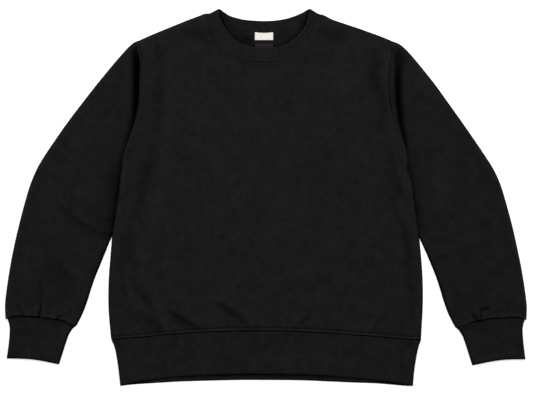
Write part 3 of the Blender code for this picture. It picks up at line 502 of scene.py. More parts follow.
def coons(first, last, near, far, across, down):
    """A Coons patch between four polylines.

    first and last are the edges at down = 0 and 1, near and far at across = 0 and 1; across and
    down are arrays of one shape, or of shapes that broadcast.
    """
    edges = along(first, across), along(last, across), along(near, down), along(far, down)
    corners = first[0], first[-1], last[0], last[-1]
    return patch(edges, corners, across[..., None], down[..., None])


def ease(value):
    """0 below 0, 1 above 1, and a smooth step between."""
    value = np.clip(value, 0.0, 1.0)
    return value * value * (3.0 - 2.0 * value)


def bell(value, middle, width):
    """A bell of a value: exp(-((value - middle) / width)^2)."""
    return np.exp(-((value - middle) / width) ** 2)


def rounding(gap, radius):
    """How far a rounded edge falls, from 1 at the edge to 0 at its radius: a quarter circle."""
    return 1.0 - np.sqrt(1.0 - (1.0 - np.clip(gap / radius, 0.0, 1.0)) ** 2)


def spaced(length, pitch, fine_start, fine_end):
    """Places from 0 to length about a pitch apart, closer together at the ends that are fine."""
    steps = np.array(EDGE_STEPS)
    start = steps if fine_start else steps[:1]
    end = length - (steps[::-1] if fine_end else steps[:1])
    count = max(2, int((end[0] - start[-1]) / pitch) + 1)
    return np.concatenate((start, np.linspace(start[-1], end[0], count + 1)[1:-1], end))


def grid_distance(plan, axis):
    """Distance along the grid lines of a sheet from both of its ends, along an axis."""
    steps = np.linalg.norm(np.diff(plan, axis=axis), axis=-1)
    pad = [(0, 0), (0, 0)]
    pad[axis] = (1, 0)
    run = np.cumsum(np.pad(steps, pad), axis=axis)
    total = run[-1:] if axis == 0 else run[:, -1:]
    return run, total - run


# The lie of the cloth ----------------------------------------------------------------------------

def closed_edges():
    """Lines where front and back layer are folded or sewn together."""
    lines = []
    for side in (0, 1):
        lines.append(smooth(np.vstack((by_height(SIDES, side), by_height(HEM_SIDES, side)[1:])), 12.0))
        fold = (NECK_FRONT_EDGE[0], NECK_FRONT_EDGE[-1])[side]
        top = np.vstack((fold, pair_of(SHOULDERS, side), pair_of(SLEEVE_OUTER, side)[1:]))
        lines.append(smooth(np.vstack((top, pair_of(CUFF_OUTER, side)[1:])), 12.0))
        inner = np.vstack((pair_of(SLEEVE_INNER, side), pair_of(CUFF_INNER, side)[1:]))
        lines.append(smooth(inner, 12.0))
    return lines


CLOSED_EDGES = closed_edges()


def creases(x, y, table=CREASES):
    """Height and shade of all creases: each is a trough or ridge along a bowed line.

    Across it the height follows exp(-n^2) less 0.3 of the same bell on each side. The shade is painted
    shade: a narrower bell, less 0.3 of one on the steep side only, which paints a light ridge there.
    Both taper to nothing at both ends.
    """
    height, shade = np.zeros_like(x), np.zeros_like(x)
    for x0, y0, x1, y1, bow, lean, width, rise, dark in table:
        run = math.hypot(x1 - x0, y1 - y0)
        ux, uy = (x1 - x0) / run, (y1 - y0) / run
        t = ((x - x0) * ux + (y - y0) * uy) / run
        swing = np.clip(4.0 * t * (1.0 - t), 0.0, 1.0)
        taper = np.sqrt(swing)
        n = (y - y0) * ux - (x - x0) * uy - bow * swing
        n = n / (width * (0.55 + 0.45 * taper) * (1.0 - lean * np.sign(n)))
        height += rise * taper * (np.exp(-n ** 2) - 0.3 * np.exp(-(np.abs(n) - 1.9) ** 2))
        steep = n * math.copysign(1.0, lean)
        shade += dark * taper * (np.exp(-1.5 * n ** 2) - 0.3 * np.exp(-(steep - 1.8) ** 2))
    return height, shade


def swells(x, y):
    """Soft unevenness: a sum of sine waves of many directions, the longer ones the higher."""
    rng = np.random.default_rng(bpy.context.scene.sweatshirt_cloth.seed)
    total = np.zeros_like(x)
    for _ in range(WAVES):
        length = rng.uniform(*SWELL_LENGTHS)
        angle = rng.uniform(0.0, math.pi)
        phase = rng.uniform(0.0, 2.0 * math.pi)
        turn = 2.0 * math.pi / length
        along_wave = x * math.cos(angle) + y * math.sin(angle)
        total += (length / SWELL_LENGTHS[1]) * np.sin(turn * along_wave + phase)
    return total / math.sqrt(WAVES) * SWELL_PEAK


def front_floor(x, y, share=1.0):
    """Height of the front layer's lower face, with a share of the creases and swells.

    It lies on the back layer at closed edges and rises away from them as 1 - exp(-distance).
    """
    c = cloth()
    apart = np.min([distance(line, x, y) for line in CLOSED_EDGES], axis=0)
    rise = c["loft"] * (1.0 - np.exp(-apart / LOFT_REACH))
    fade = share * (1.0 - np.exp(-apart / FOLD_FADE))
    rise = rise + fade * (creases(x, y)[0] + c["swell"] * swells(x, y))
    return c["fleece_wall"] + c["layer_gap"] + np.clip(rise, 0.0, MOST_RISE)


def pleat_at(share, side):
    """Edge, reach, fade, depth and lead of the pleat's painted shade, and its strength, at shares of an
    armhole.
    """
    table = np.array(PLEATS[side])
    values = [np.interp(share, table[:, 0], column) for column in table.T[1:]]
    return *values, ease(values[3] / 0.5)


def pleat_shade(x, y, side):
    """Painted shade of a sleeve beside the armhole, by its distance from the seam.

    It rises over the lead to the crest's edge, holds beyond it and fades out further off; the crest
    itself is painted a little darker than open cloth.
    """
    apart, share = nearest(smooth(pair_of(ARMHOLES, side), 4.0), x, y)
    edge, reach, fade, dark, lead, strength = pleat_at(share, side)
    deep = dark * ease((apart - edge + lead) / lead) * (1.0 - ease((apart - reach) / fade))
    crest = 0.13 * strength * (1.0 - ease((apart - edge) / 3.0))
    return crest + (1.0 - crest) * deep


def armhole_share(y, side):
    """Share of an armhole from the shoulder, at a height."""
    line = smooth(pair_of(ARMHOLES, side), 4.0)
    return np.interp(y, line[::-1, 1], (run_of(line) / run_of(line)[-1])[::-1])


def armhole_sharp(y, side):
    """How sharp an armhole seam is, at a height."""
    table = np.array(ARMHOLE_SHARP[side])
    return np.interp(armhole_share(y, side), table[:, 0], table[:, 1])


def armhole_crest(x, y):
    """Rise of the body cloth towards the pleat: a bell of the distance from each armhole."""
    total = np.zeros_like(x)
    for side in (0, 1):
        apart, share = nearest(smooth(pair_of(ARMHOLES, side), 8.0), x, y)
        total += CREST_ON_BODY * cloth()["crest"] * pleat_at(share, side)[5] * bell(apart, 0.0, 13.0)
    return total


def side_hold(y):
    """Where the body's side lies over the sleeve: 1 between underarm and parting, 0 beyond.

    It eases in over 22 mm below the underarm and out over 26 mm above the parting.
    """
    return ease((UNDERARM - y) / 22.0) * ease((y - PARTING) / 26.0)


def seam_shade(gap, depth, ridge, groove=0.0, spread=1.0):
    """Painted shade beside a seam: dark in it, a painted light ridge beside it, dark under topstitching."""
    wide = gap / spread
    return depth * bell(wide, 0.0, 1.2) - ridge * bell(wide, 2.5, 1.1) + groove * bell(gap, 6.5, 1.5)


def fold_shade(value):
    """Painted shade down a folded edge: a value on top that darkens as the cloth turns under."""
    return value + 0.2 * (1.0 - np.sin(FOLD_ANGLES))


def beside_body(x, y, side):
    """Painted shadow that the body's side casts on a sleeve: it dies out with distance from that side.

    Up the sleeve it fades from y = 44 to y = 124, and below it ends at the parting.
    """
    depth, reach, line, end = SIDE_SHADE[side]
    edge = np.vstack((pair_of(ARMHOLES, side)[-4:], by_height(SIDES, side)[1:6]))
    apart = distance(smooth(edge, 8.0), x, y)
    shade = depth * np.exp(-apart / reach) + line * bell(apart, 0.0, 1.5)
    return shade * np.clip((124.0 - y) / 80.0, 0.0, 1.0) * ease((y - end) / 24.0)


# Meshes ------------------------------------------------------------------------------------------

def put_mesh(name, points, quads, uv, press, finish):
    """A smooth-shaded object from points in millimetres, quads and per-point values.

    uv is in metres along and across the cloth, and the per-point values are painted shade: 0 leaves the
    colour as it is, 1 paints it near black, and below 0 paints light.
    """
    mesh = bpy.data.meshes.new(name)
    mesh.vertices.add(len(points))
    mesh.vertices.foreach_set("co", (points * MM).astype(np.float32).ravel())
    mesh.loops.add(quads.size)
    mesh.loops.foreach_set("vertex_index", quads.astype(np.int32).ravel())
    mesh.polygons.add(len(quads))
    mesh.polygons.foreach_set("loop_start", np.arange(0, quads.size, 4, dtype=np.int32))
    mesh.update(calc_edges=True)
    mesh.validate()
    layer = mesh.uv_layers.new(name="Cloth")
    layer.data.foreach_set("uv", uv[quads.ravel()].astype(np.float32).ravel())
    # The painted shade goes into the colour through this point attribute
    attribute = mesh.attributes.new("press", "FLOAT", "POINT")
    attribute.data.foreach_set("value", press.astype(np.float32))
    mesh.materials.append(finish_named(finish))
    mesh.shade_smooth()
    mesh.set_sharp_from_angle(angle=SHARP_ANGLE)
    return put_object(name, mesh)


def put_object(name, data):
    """A new object in the scene, at the origin."""
    piece = bpy.data.objects.new(name, data)
    bpy.context.scene.collection.objects.link(piece)
    return piece


def grid_quads(first, rows, cols, ring):
    """Quads of a grid of points, row by row; a ring joins its last column to its first."""
    row = np.arange(rows - 1)[:, None]
    col = np.arange(cols if ring else cols - 1)[None, :]
    right = (col + 1) % cols
    a = first + row * cols + col
    b = first + row * cols + right
    return np.stack((a, b, b + cols, a + cols), axis=-1).reshape(-1, 4)


def rim_quads(outer, inner):
    """Quads between two loops of point indices of the same length, both closed."""
    return np.stack((outer, inner, np.roll(inner, -1), np.roll(outer, -1)), axis=-1)


def turned_out(points, quads):
    """The quads, all turned round if the closed surface that they make is inside out."""
    a, b, c, d = (points[quads[:, index]] for index in range(4))
    volume = np.einsum("ij,ij->i", a, np.cross(b, c)).sum() + np.einsum("ij,ij->i", a, np.cross(c, d)).sum()
    return quads if volume > 0.0 else quads[:, ::-1]


def put_sheet(name, plan, high, low, press, finish, painted_shade_below=None):
    """A closed cloth from a grid in plan and the heights of its upper and its lower face."""
    # Painted shade of the upper face, and of the lower face if one is given
    below = press if painted_shade_below is None else painted_shade_below
    rows, cols = high.shape
    points = np.vstack([np.dstack((plan, height)).reshape(-1, 3) for height in (high, low)])
    index = np.arange(rows * cols).reshape(rows, cols)
    rim = np.concatenate((index[0, :-1], index[:-1, -1], index[-1, :0:-1], index[:0:-1, 0]))
    quads = np.vstack((grid_quads(0, rows, cols, False),
                       grid_quads(rows * cols, rows, cols, False)[:, ::-1],
                       rim_quads(rim, rim + rows * cols)))
    uv = points[:, :2] * MM
    return put_mesh(name, points, turned_out(points, quads), uv,
                    np.concatenate((press.ravel(), below.ravel())), finish)


def put_tube(name, outer, inner, press, uv, finish):
    """A closed wall from two stacks of rings with the same columns, an outer and an inner one."""
    cols = outer.shape[1]
    points = np.vstack((outer.reshape(-1, 3), inner.reshape(-1, 3)))
    start = outer.shape[0] * cols
    loop = np.arange(cols)
    quads = np.vstack((grid_quads(0, outer.shape[0], cols, True),
                       grid_quads(start, inner.shape[0], cols, True)[:, ::-1],
                       rim_quads(loop, loop + start),
                       rim_quads(loop + len(points) - cols, loop + start - cols)))
    return put_mesh(name, points, turned_out(points, quads), uv, press, finish)


def cloth_uv(around, lengthwise):
    """UV of a stack of rings, from metres round a ring and metres along the tube."""
    return np.stack(np.broadcast_arrays(around[None, :], lengthwise[:, None]), axis=-1).reshape(-1, 2)


def fold_arc(edge, above, below, top, low, wall):
    """Outer and inner points round a folded edge, from the front wall down to the back wall.

    Each is half an ellipse in the upright plane through the fold: the outer one from the height
    top down to 0, the inner one from low down to the back wall's inner face. edge, above and below
    are arrays of plan points, one for each ring.
    """
    s, c = np.sin(FOLD_ANGLES)[None, :, None], np.cos(FOLD_ANGLES)[None, :, None]
    depth = 0.5 * (np.linalg.norm(above - edge, axis=1) + np.linalg.norm(below - edge, axis=1))
    bend = np.maximum(0.15, 1.0 - wall / depth)[:, None, None]
    toward = 0.5 * ((1.0 + s) * above[:, None] + (1.0 - s) * below[:, None]) - edge[:, None]
    outer_z = 0.5 * top[:, None, None] * (1.0 + s)
    inner_z = wall + 0.5 * (low - wall)[:, None, None] * (1.0 + s)
    outer = np.concatenate((edge[:, None] + toward * (1.0 - c), outer_z), axis=-1)
    inner = np.concatenate((edge[:, None] + toward * (1.0 - bend * c), inner_z), axis=-1)
    return outer, inner


def close_rings(front, back, edges, wall):
    """Rings of a flattened tube from its front and back sheets and the folds between them.

    front and back are (plan, outer height, inner height), back runs the other way, and edges are
    the plan lines of the far and the near fold.
    """
    front_outer, front_inner = (np.dstack((front[0], height)) for height in front[1:])
    back_outer, back_inner = (np.dstack((back[0], height)) for height in back[1:])
    far = fold_arc(edges[0], front[0][:, -1], back[0][:, 0], front[1][:, -1], front[2][:, -1], wall)
    near = fold_arc(edges[1], front[0][:, 0], back[0][:, -1], front[1][:, 0], front[2][:, 0], wall)
    outer = np.concatenate((front_outer, far[0], back_outer, near[0][:, ::-1]), axis=1)
    inner = np.concatenate((front_inner, far[1], back_inner, near[1][:, ::-1]), axis=1)
    return outer, inner


# Knit and cloth finishes -------------------------------------------------------------------------

def new_group(name, inputs, outputs):
    """An empty shader group with named sockets: (name, type, default) for each input."""
    group = bpy.data.node_groups.new(name, "ShaderNodeTree")
    for label, kind, default in inputs:
        socket = group.interface.new_socket(name=label, in_out="INPUT", socket_type=kind)
        if default is not None:
            socket.default_value = default
    for label, kind in outputs:
        group.interface.new_socket(name=label, in_out="OUTPUT", socket_type=kind)
    return group, group.nodes.new("NodeGroupInput"), group.nodes.new("NodeGroupOutput")


def wire(tree, source, target):
    """Link an output to an input."""
    tree.links.new(source, target)


def math_node(tree, operation, first, second=None, third=None):
    """A math node of an operation on numbers or sockets; returns its output."""
    node = tree.nodes.new("ShaderNodeMath")
    node.operation = operation
    for slot, value in zip(node.inputs, (first, second, third)):
        if value is None:
            continue
        if isinstance(value, (int, float)):
            slot.default_value = value
        else:
            wire(tree, value, slot)
    return node.outputs[0]


def noise_node(tree, vector, scale, detail, rough):
    """Noise over a vector; returns its value."""
    node = tree.nodes.new("ShaderNodeTexNoise")
    node.inputs["Scale"].default_value = scale
    node.inputs["Detail"].default_value = detail
    node.inputs["Roughness"].default_value = rough
    wire(tree, vector, node.inputs["Vector"])
    return node.outputs["Fac"]


def jersey_group():
    """Face of plain knit: columns of small V shapes, in metres along the cloth's own UV."""
    group, ins, outs = new_group("Jersey face", (
        ("Vector", "NodeSocketVector", None),
        ("Wales per metre", "NodeSocketFloat", 780.0),
        ("Courses per metre", "NodeSocketFloat", 900.0),
    ), (("Height", "NodeSocketFloat"),))
    split = group.nodes.new("ShaderNodeSeparateXYZ")
    wire(group, ins.outputs["Vector"], split.inputs[0])
    wale = math_node(group, "MULTIPLY", split.outputs["X"], ins.outputs["Wales per metre"])
    course = math_node(group, "MULTIPLY", split.outputs["Y"], ins.outputs["Courses per metre"])
    arm = math_node(group, "ABSOLUTE", math_node(group, "SUBTRACT", math_node(group, "FRACT", wale), 0.5))
    slant = math_node(group, "MULTIPLY_ADD", arm, 0.9, course)
    loops = math_node(group, "SINE", math_node(group, "MULTIPLY", slant, math.pi))
    loops = math_node(group, "ABSOLUTE", loops)
    valley = math_node(group, "MULTIPLY", math_node(group, "FRACT", wale), math.pi)
    valley = math_node(group, "SINE", valley)
    height = math_node(group, "MULTIPLY", loops, math_node(group, "POWER", valley, 0.5))
    wire(group, height, outs.inputs["Height"])
    return group


def nap_and_shade_group():
    """Uneven dye and fluff with painted shade: a factor around 1 from noise of every size, times one less
    the painted shade, and a fine height.
    """
    group, ins, outs = new_group("Cotton nap", (
        ("Vector", "NodeSocketVector", None),
        ("Press", "NodeSocketFloat", 0.0),
        ("Unevenness", "NodeSocketFloat", 0.5),
        ("Press shade", "NodeSocketFloat", 0.5),
    ), (("Shade", "NodeSocketFloat"), ("Height", "NodeSocketFloat"), ("Roughness", "NodeSocketFloat")))
    vector = ins.outputs["Vector"]
    mottle = noise_node(group, vector, 45.0, 5.0, 0.95)
    fluff = noise_node(group, vector, 900.0, 2.0, 0.6)
    uneven = math_node(group, "SUBTRACT", mottle, 0.5)
    uneven = math_node(group, "MULTIPLY", uneven, ins.outputs["Unevenness"])
    specks = math_node(group, "MULTIPLY_ADD", math_node(group, "SUBTRACT", fluff, 0.5), 0.4, uneven)
    # Painted shade: the point attribute darkens the colour, and below 0 paints it lighter
    painted_darkening = math_node(group, "MULTIPLY", ins.outputs["Press"], ins.outputs["Press shade"])
    shade = math_node(group, "MULTIPLY", math_node(group, "ADD", specks, 1.0),
                      math_node(group, "SUBTRACT", 1.0, painted_darkening))
    wire(group, math_node(group, "MAXIMUM", shade, 0.02), outs.inputs["Shade"])
    wire(group, fluff, outs.inputs["Height"])
    wire(group, math_node(group, "MULTIPLY_ADD", mottle, 0.12, 0.84), outs.inputs["Roughness"])
    return group


def weave_group():
    """Satin weave of a label: fine slanted threads crossed by finer ones."""
    group, ins, outs = new_group("Label weave", (
        ("Vector", "NodeSocketVector", None),
        ("Threads per metre", "NodeSocketFloat", 2600.0),
    ), (("Height", "NodeSocketFloat"),))
    split = group.nodes.new("ShaderNodeSeparateXYZ")
    wire(group, ins.outputs["Vector"], split.inputs[0])
    turn = math_node(group, "MULTIPLY", ins.outputs["Threads per metre"], 2.0 * math.pi)
    warp = math_node(group, "SINE", math_node(group, "MULTIPLY", split.outputs["X"], turn))
    weft = math_node(group, "SINE", math_node(group, "MULTIPLY", split.outputs["Y"], turn))
    wire(group, math_node(group, "MULTIPLY_ADD", weft, 0.5, warp), outs.inputs["Height"])
    return group


GROUPS = {"jersey": jersey_group, "nap": nap_and_shade_group, "weave": weave_group}
MADE = {}


def shared_group(name):
    """One of the shader groups, built the first time that it is asked for."""
    if name not in MADE:
        MADE[name] = GROUPS[name]()
    return MADE[name]


def place_group(tree, name, vector):
    """A shared group placed in a material's tree."""
    node = tree.nodes.new("ShaderNodeGroup")
    node.node_tree = shared_group(name)
    wire(tree, vector, node.inputs["Vector"])
    return node


def shaded_color(tree, color, shade):
    """A colour times a shade that changes over the surface."""
    mix = tree.nodes.new("ShaderNodeVectorMath")
    mix.operation = "SCALE"
    mix.inputs[0].default_value = tuple(color)
    wire(tree, shade, mix.inputs["Scale"])
    return mix.outputs[0]


def bump(tree, height, depth, strength, before=None):
    """The normal of a bump, laid over the one before it."""
    node = tree.nodes.new("ShaderNodeBump")
    node.inputs["Distance"].default_value = depth
    node.inputs["Strength"].default_value = strength
    wire(tree, height, node.inputs["Height"])
    if before is not None:
        wire(tree, before, node.inputs["Normal"])
    return node.outputs["Normal"]


def new_finish(name, values):
    """A material whose shader's own sockets get these constant values, and that shader."""
    finish = bpy.data.materials.new(name)
    finish.use_nodes = True
    shader = finish.node_tree.nodes["Principled BSDF"]
    for label, value in values.items():
        shader.inputs[label].default_value = value
    return finish, shader


def dyed(tree, shader, color, unevenness, painted_shade_strength):
    """Wires a dyed cotton colour, darkened by the painted shade attribute; returns the place and the node of
    dye, fluff and painted shade.
    """
    place = tree.nodes.new("ShaderNodeTexCoord").outputs["Object"]
    press = tree.nodes.new("ShaderNodeAttribute")
    press.attribute_name = "press"
    nap = place_group(tree, "nap", place)
    wire(tree, press.outputs["Fac"], nap.inputs["Press"])
    nap.inputs["Unevenness"].default_value = unevenness
    nap.inputs["Press shade"].default_value = painted_shade_strength
    wire(tree, shaded_color(tree, color, nap.outputs["Shade"]), shader.inputs["Base Color"])
    return place, nap


def knit_material(name, color, face, unevenness, painted_shade_strength, sheen, specular, wales=780.0):
    """Matt cotton knit: dyed yarn with fluff, loops as bump, and a little sheen."""
    finish, shader = new_finish(name, {
        "Specular IOR Level": specular, "Sheen Weight": sheen, "Sheen Roughness": 0.45,
        "Sheen Tint": (0.35, 0.35, 0.35, 1.0)})
    tree = finish.node_tree
    _, nap = dyed(tree, shader, color, unevenness, painted_shade_strength)
    wire(tree, nap.outputs["Roughness"], shader.inputs["Roughness"])
    uv = tree.nodes.new("ShaderNodeUVMap")
    uv.uv_map = "Cloth"
    knit = place_group(tree, "jersey", uv.outputs["UV"])
    knit.inputs["Wales per metre"].default_value = wales
    fluffed = bump(tree, nap.outputs["Height"], 0.0004, 0.35)
    wire(tree, bump(tree, knit.outputs["Height"], 0.0003, face, fluffed), shader.inputs["Normal"])


def woven_material(name, color, roughness, specular):
    """Smooth woven ribbon: a fine weave as bump and a soft gloss."""
    finish, shader = new_finish(name, {"Roughness": roughness, "Specular IOR Level": specular})
    tree = finish.node_tree
    # The painted shade darkens the ribbons too
    place, _ = dyed(tree, shader, color, 0.2, 0.97)
    weave = place_group(tree, "weave", place)
    wire(tree, bump(tree, weave.outputs["Height"], 0.0001, 0.30), shader.inputs["Normal"])


# Each finish: how it is made, its colour in the settings, and that maker's values; for the knits the third
# of those is how far the painted shade can darken it
FINISHES = {
    "fleece_face": (knit_material, "fleece", 0.35, 1.6, 0.97, 0.02, 0.0),
    "fleece_inside": (knit_material, "inside", 0.10, 1.4, 0.97, 0.03, 0.0),
    "rib_knit": (knit_material, "rib", 0.30, 1.8, 0.97, 0.02, 0.0, 950.0),
    "sewing_thread": (knit_material, "thread", 0.10, 0.4, 0.20, 0.0, 0.10),
    "label_ribbon": (woven_material, "label", 0.55, 0.30),
    "care_tape": (woven_material, "tape", 0.60, 0.10),
}


def finish_named(kind):
    """The finish of a kind of cloth, built once from the colours in the settings."""
    if kind not in bpy.data.materials:
        make, color, *values = FINISHES[kind]
        make(kind, getattr(bpy.context.scene.sweatshirt_colors, color), *values)
    return bpy.data.materials[kind]


# The pieces --------------------------------------------------------------------------------------

def panel_lines(neck_seam, tuck):
    """The four edges of a body panel: hem seam, top, left and right, and where their parts meet.

    The top runs from armhole to armhole along shoulder, neck and shoulder. tuck moves the sides
    out (above 0) or in where the sleeve lies beside them.
    """
    bottom = smooth(HEM_SEAM)
    left_shoulder = smooth(pair_of(SHOULDERS, 0))[::-1]
    right_shoulder = smooth(pair_of(SHOULDERS, 1))
    neck = smooth(neck_seam)
    sides = []
    for side, outward in ((0, -1.0), (1, 1.0)):
        line = smooth(by_height(SIDES, side)[::-1])
        line[:, 0] += outward * tuck * side_hold(line[:, 1])
        sides.append((line, smooth(pair_of(ARMHOLES, side))[::-1]))
    return bottom, (left_shoulder, neck, right_shoulder), sides


def panel_plan(neck_seam, tuck, pitch):
    """Plan of a body panel as a grid, rows from the hem up and columns from left to right.

    A Coons patch whose columns meet the corners of the neck and whose rows meet the underarms.
    Returns the plan and the number of rows below the underarm and of columns beside the neck.
    """
    bottom, tops, sides = panel_lines(neck_seam, tuck)
    width = bottom[-1, 0] - bottom[0, 0]
    part = 0.3 * width
    side_at = spaced(part, pitch, True, False)
    neck_at = np.linspace(0.0, 1.0, int((width - 2.0 * part) / pitch) + 1)
    across = np.concatenate((side_at / width, part / width + neck_at[1:-1] * (1.0 - 2.0 * part / width),
                             1.0 - side_at[::-1] / width))
    top = np.vstack((along(tops[0], side_at / part)[:-1], along(tops[1], neck_at),
                     along(tops[2], 1.0 - side_at[::-1] / part)[1:]))
    lengths = [run_of(line)[-1] for line in sides[0]]
    low_at = spaced(lengths[0], pitch, True, False) / lengths[0]
    high_at = spaced(lengths[1], pitch, False, True) / lengths[1]
    rows = [np.vstack((along(low, low_at), along(high, high_at)[1:])) for low, high in sides]
    down = np.concatenate((low_at * lengths[0], lengths[0] + high_at[1:] * lengths[1])) / sum(lengths)
    base = along(bottom, across)
    plan = patch((base[None], top[None], rows[0][:, None], rows[1][:, None]),
                 (base[0], base[-1], top[0], top[-1]), across[None, :, None], down[:, None, None])
    return plan, len(low_at), len(side_at)


def seam_relief(gap, stitched=True):
    """Section of cloth beside a seam: a rounded edge, a low ridge, and the dent of the topstitch."""
    relief = -1.25 * rounding(gap, 1.6) + 0.45 * bell(gap, 2.6, 1.3)
    if stitched:
        relief = relief - 0.42 * bell(gap, 5.9, 1.2)
    return relief


def pucker(place, gap, depth, reach, pitch):
    """Small gathers along a seam: uneven waves across it that die out with distance from it."""
    turn = 2.0 * math.pi / pitch
    waves = np.sin(turn * place + 2.0 * np.sin(0.31 * turn * place))
    waves = waves * (0.6 + 0.4 * np.sin(0.17 * turn * place))
    return depth * waves * np.exp(-gap / reach)


def make_front():
    """The front panel: a sheet over the back layer, rounded down to it at sides and shoulders.

    Its lower face is the front layer's floor. Its upper face lies the fleece's thickness above,
    less at closed edges, plus the armhole's crest, the seams' relief and the hem seam's gathers.
    """
    c = cloth()
    plan, low_rows, side_cols = panel_plan(NECK_FRONT_SEAM, 0.0, c["grid"])
    up, down = grid_distance(plan, 0)
    side = np.minimum(*grid_distance(plan, 1))
    x, y = plan[..., 0], plan[..., 1]
    low = front_floor(x, y)
    row = np.arange(plan.shape[0])[:, None]
    col = np.arange(plan.shape[1])[None, :]
    below = ease((low_rows - 0.5 - row) / 3.0 + 0.5)
    beside_neck = np.minimum(col - side_cols, plan.shape[1] - 1 - side_cols - col)
    at_neck = ease(beside_neck / 3.0 + 0.5)
    sharp = np.where(x < 0.0, armhole_sharp(y, 0), armhole_sharp(y, 1)) * (1.0 - below)
    hold = side_hold(y) * ease((15.0 - side) / 12.0)
    low = low + hold * np.maximum(0.0, OVER_SLEEVE - low)
    closed = below * rounding(side, 3.0) + (1.0 - at_neck) * rounding(down, 3.0)
    high = low + c["fleece_wall"] - (c["fleece_wall"] - 0.5) * np.clip(closed, 0.0, 1.0)
    high += armhole_crest(x, y)
    gathers = pucker(x, up, 0.30, 9.0, 13.0)
    high += seam_relief(up) + gathers
    high += at_neck * seam_relief(down)
    high += sharp * seam_relief(side, stitched=False)
    high = np.maximum(high, low + THIN_FRONT)
    # Painted shade and light: the creases, the seam lines and the light ridges beside them, the dark along
    # the sides below the underarm, and a light rim along the shoulders
    shade = creases(x, y)[1] - 0.25 * gathers
    shade += seam_shade(up, 0.80, 0.42, 0.46)
    share = nearest(smooth(NECK_FRONT_SEAM, 12.0), x, y)[1]
    neck_depth = at_neck * np.interp(share, *np.array(NECK_SEAM_DEPTHS).T)
    shade += neck_depth * (seam_shade(down, 0.45, 0.26, spread=1.2) + 0.10 * bell(down, 9.0, 5.0))
    shade += sharp * (0.42 * bell(side, 0.0, 1.5) - 0.20 * bell(side, 4.0, 2.2))
    shade -= (1.0 - below) * (1.0 - sharp) * 0.10 * bell(side, 2.0, 3.5)
    shade += below * (0.70 * bell(side, 0.0, 2.4) - 0.06 * bell(side, 6.0, 4.0))
    shade -= np.where(x < 0.0, 0.30, 0.14) * (1.0 - at_neck) * bell(down, 3.5, 3.0)
    return put_sheet("front_cloth", plan, high, low, shade, "fleece_face")


def make_back():
    """The back panel: flat where it rests, with soft edges; its inside shows at the neck.

    Both faces are rounded off to a thin edge, and the upper one has a low wave in x and y.
    """
    c = cloth()
    plan, _, _ = panel_plan(NECK_BACK_SEAM, -2.0 * SIDE_TUCK, 2.0 * c["grid"])
    x, y = plan[..., 0], plan[..., 1]
    edge = np.minimum(np.minimum(*grid_distance(plan, 0)), np.minimum(*grid_distance(plan, 1)))
    round_off = rounding(edge, 1.6)
    wave = 0.5 * c["swell"] * (1.0 + np.sin(x / 17.0) * np.cos(y / 23.0))
    high = c["fleece_wall"] - 0.7 * round_off + wave * (1.0 - round_off) * 0.6
    # The edge's rounding also paints shade on both faces, and the upper face gets the painted shade under
    # the front neck
    soft = 0.5 * round_off
    return put_sheet("back_cloth", plan, high, soft, soft + under_front_neck(x, y), "fleece_inside", soft)


def under_front_neck(x, y):
    """Painted shade inside the neck: dark beside the front collar's edge, darker still in two soft patches.
    """
    apart = distance(smooth(NECK_FRONT_EDGE, 8.0), x, y)
    shade_patches = 0.58 * np.exp(-((x + 33.0) / 13.0) ** 2 - ((y - 301.0) / 5.5) ** 2)
    shade_patches = shade_patches + 0.18 * np.exp(-((x + 52.0) / 15.0) ** 2 - ((y - 305.0) / 8.0) ** 2)
    return 0.45 * bell(apart, 0.0, 2.0) + 0.34 * np.exp(-apart / 11.0) + shade_patches


def sleeve_edges(side):
    """The four edges of a sleeve in plan: armhole, cuff seam, outer fold and underarm seam."""
    away = (-1.0, 1.0)[side]
    armhole = offset(smooth(pair_of(ARMHOLES, side)), away * -SEAM_LAP)
    body = by_height(SIDES, side)[1:4]
    held = side_hold(body[:, 1])
    body[:, 0] += away * (0.9 * (1.0 - held) - SIDE_TUCK * held)
    inner = smooth(np.vstack((armhole[-1:] + (away * 0.6, 0.0), body, pair_of(SLEEVE_INNER, side))))
    outer = smooth(np.vstack((armhole[:1], pair_of(SLEEVE_OUTER, side)[1:])))
    cuff = smooth(pair_of(CUFF_SEAMS, side))
    return armhole, cuff, outer, inner


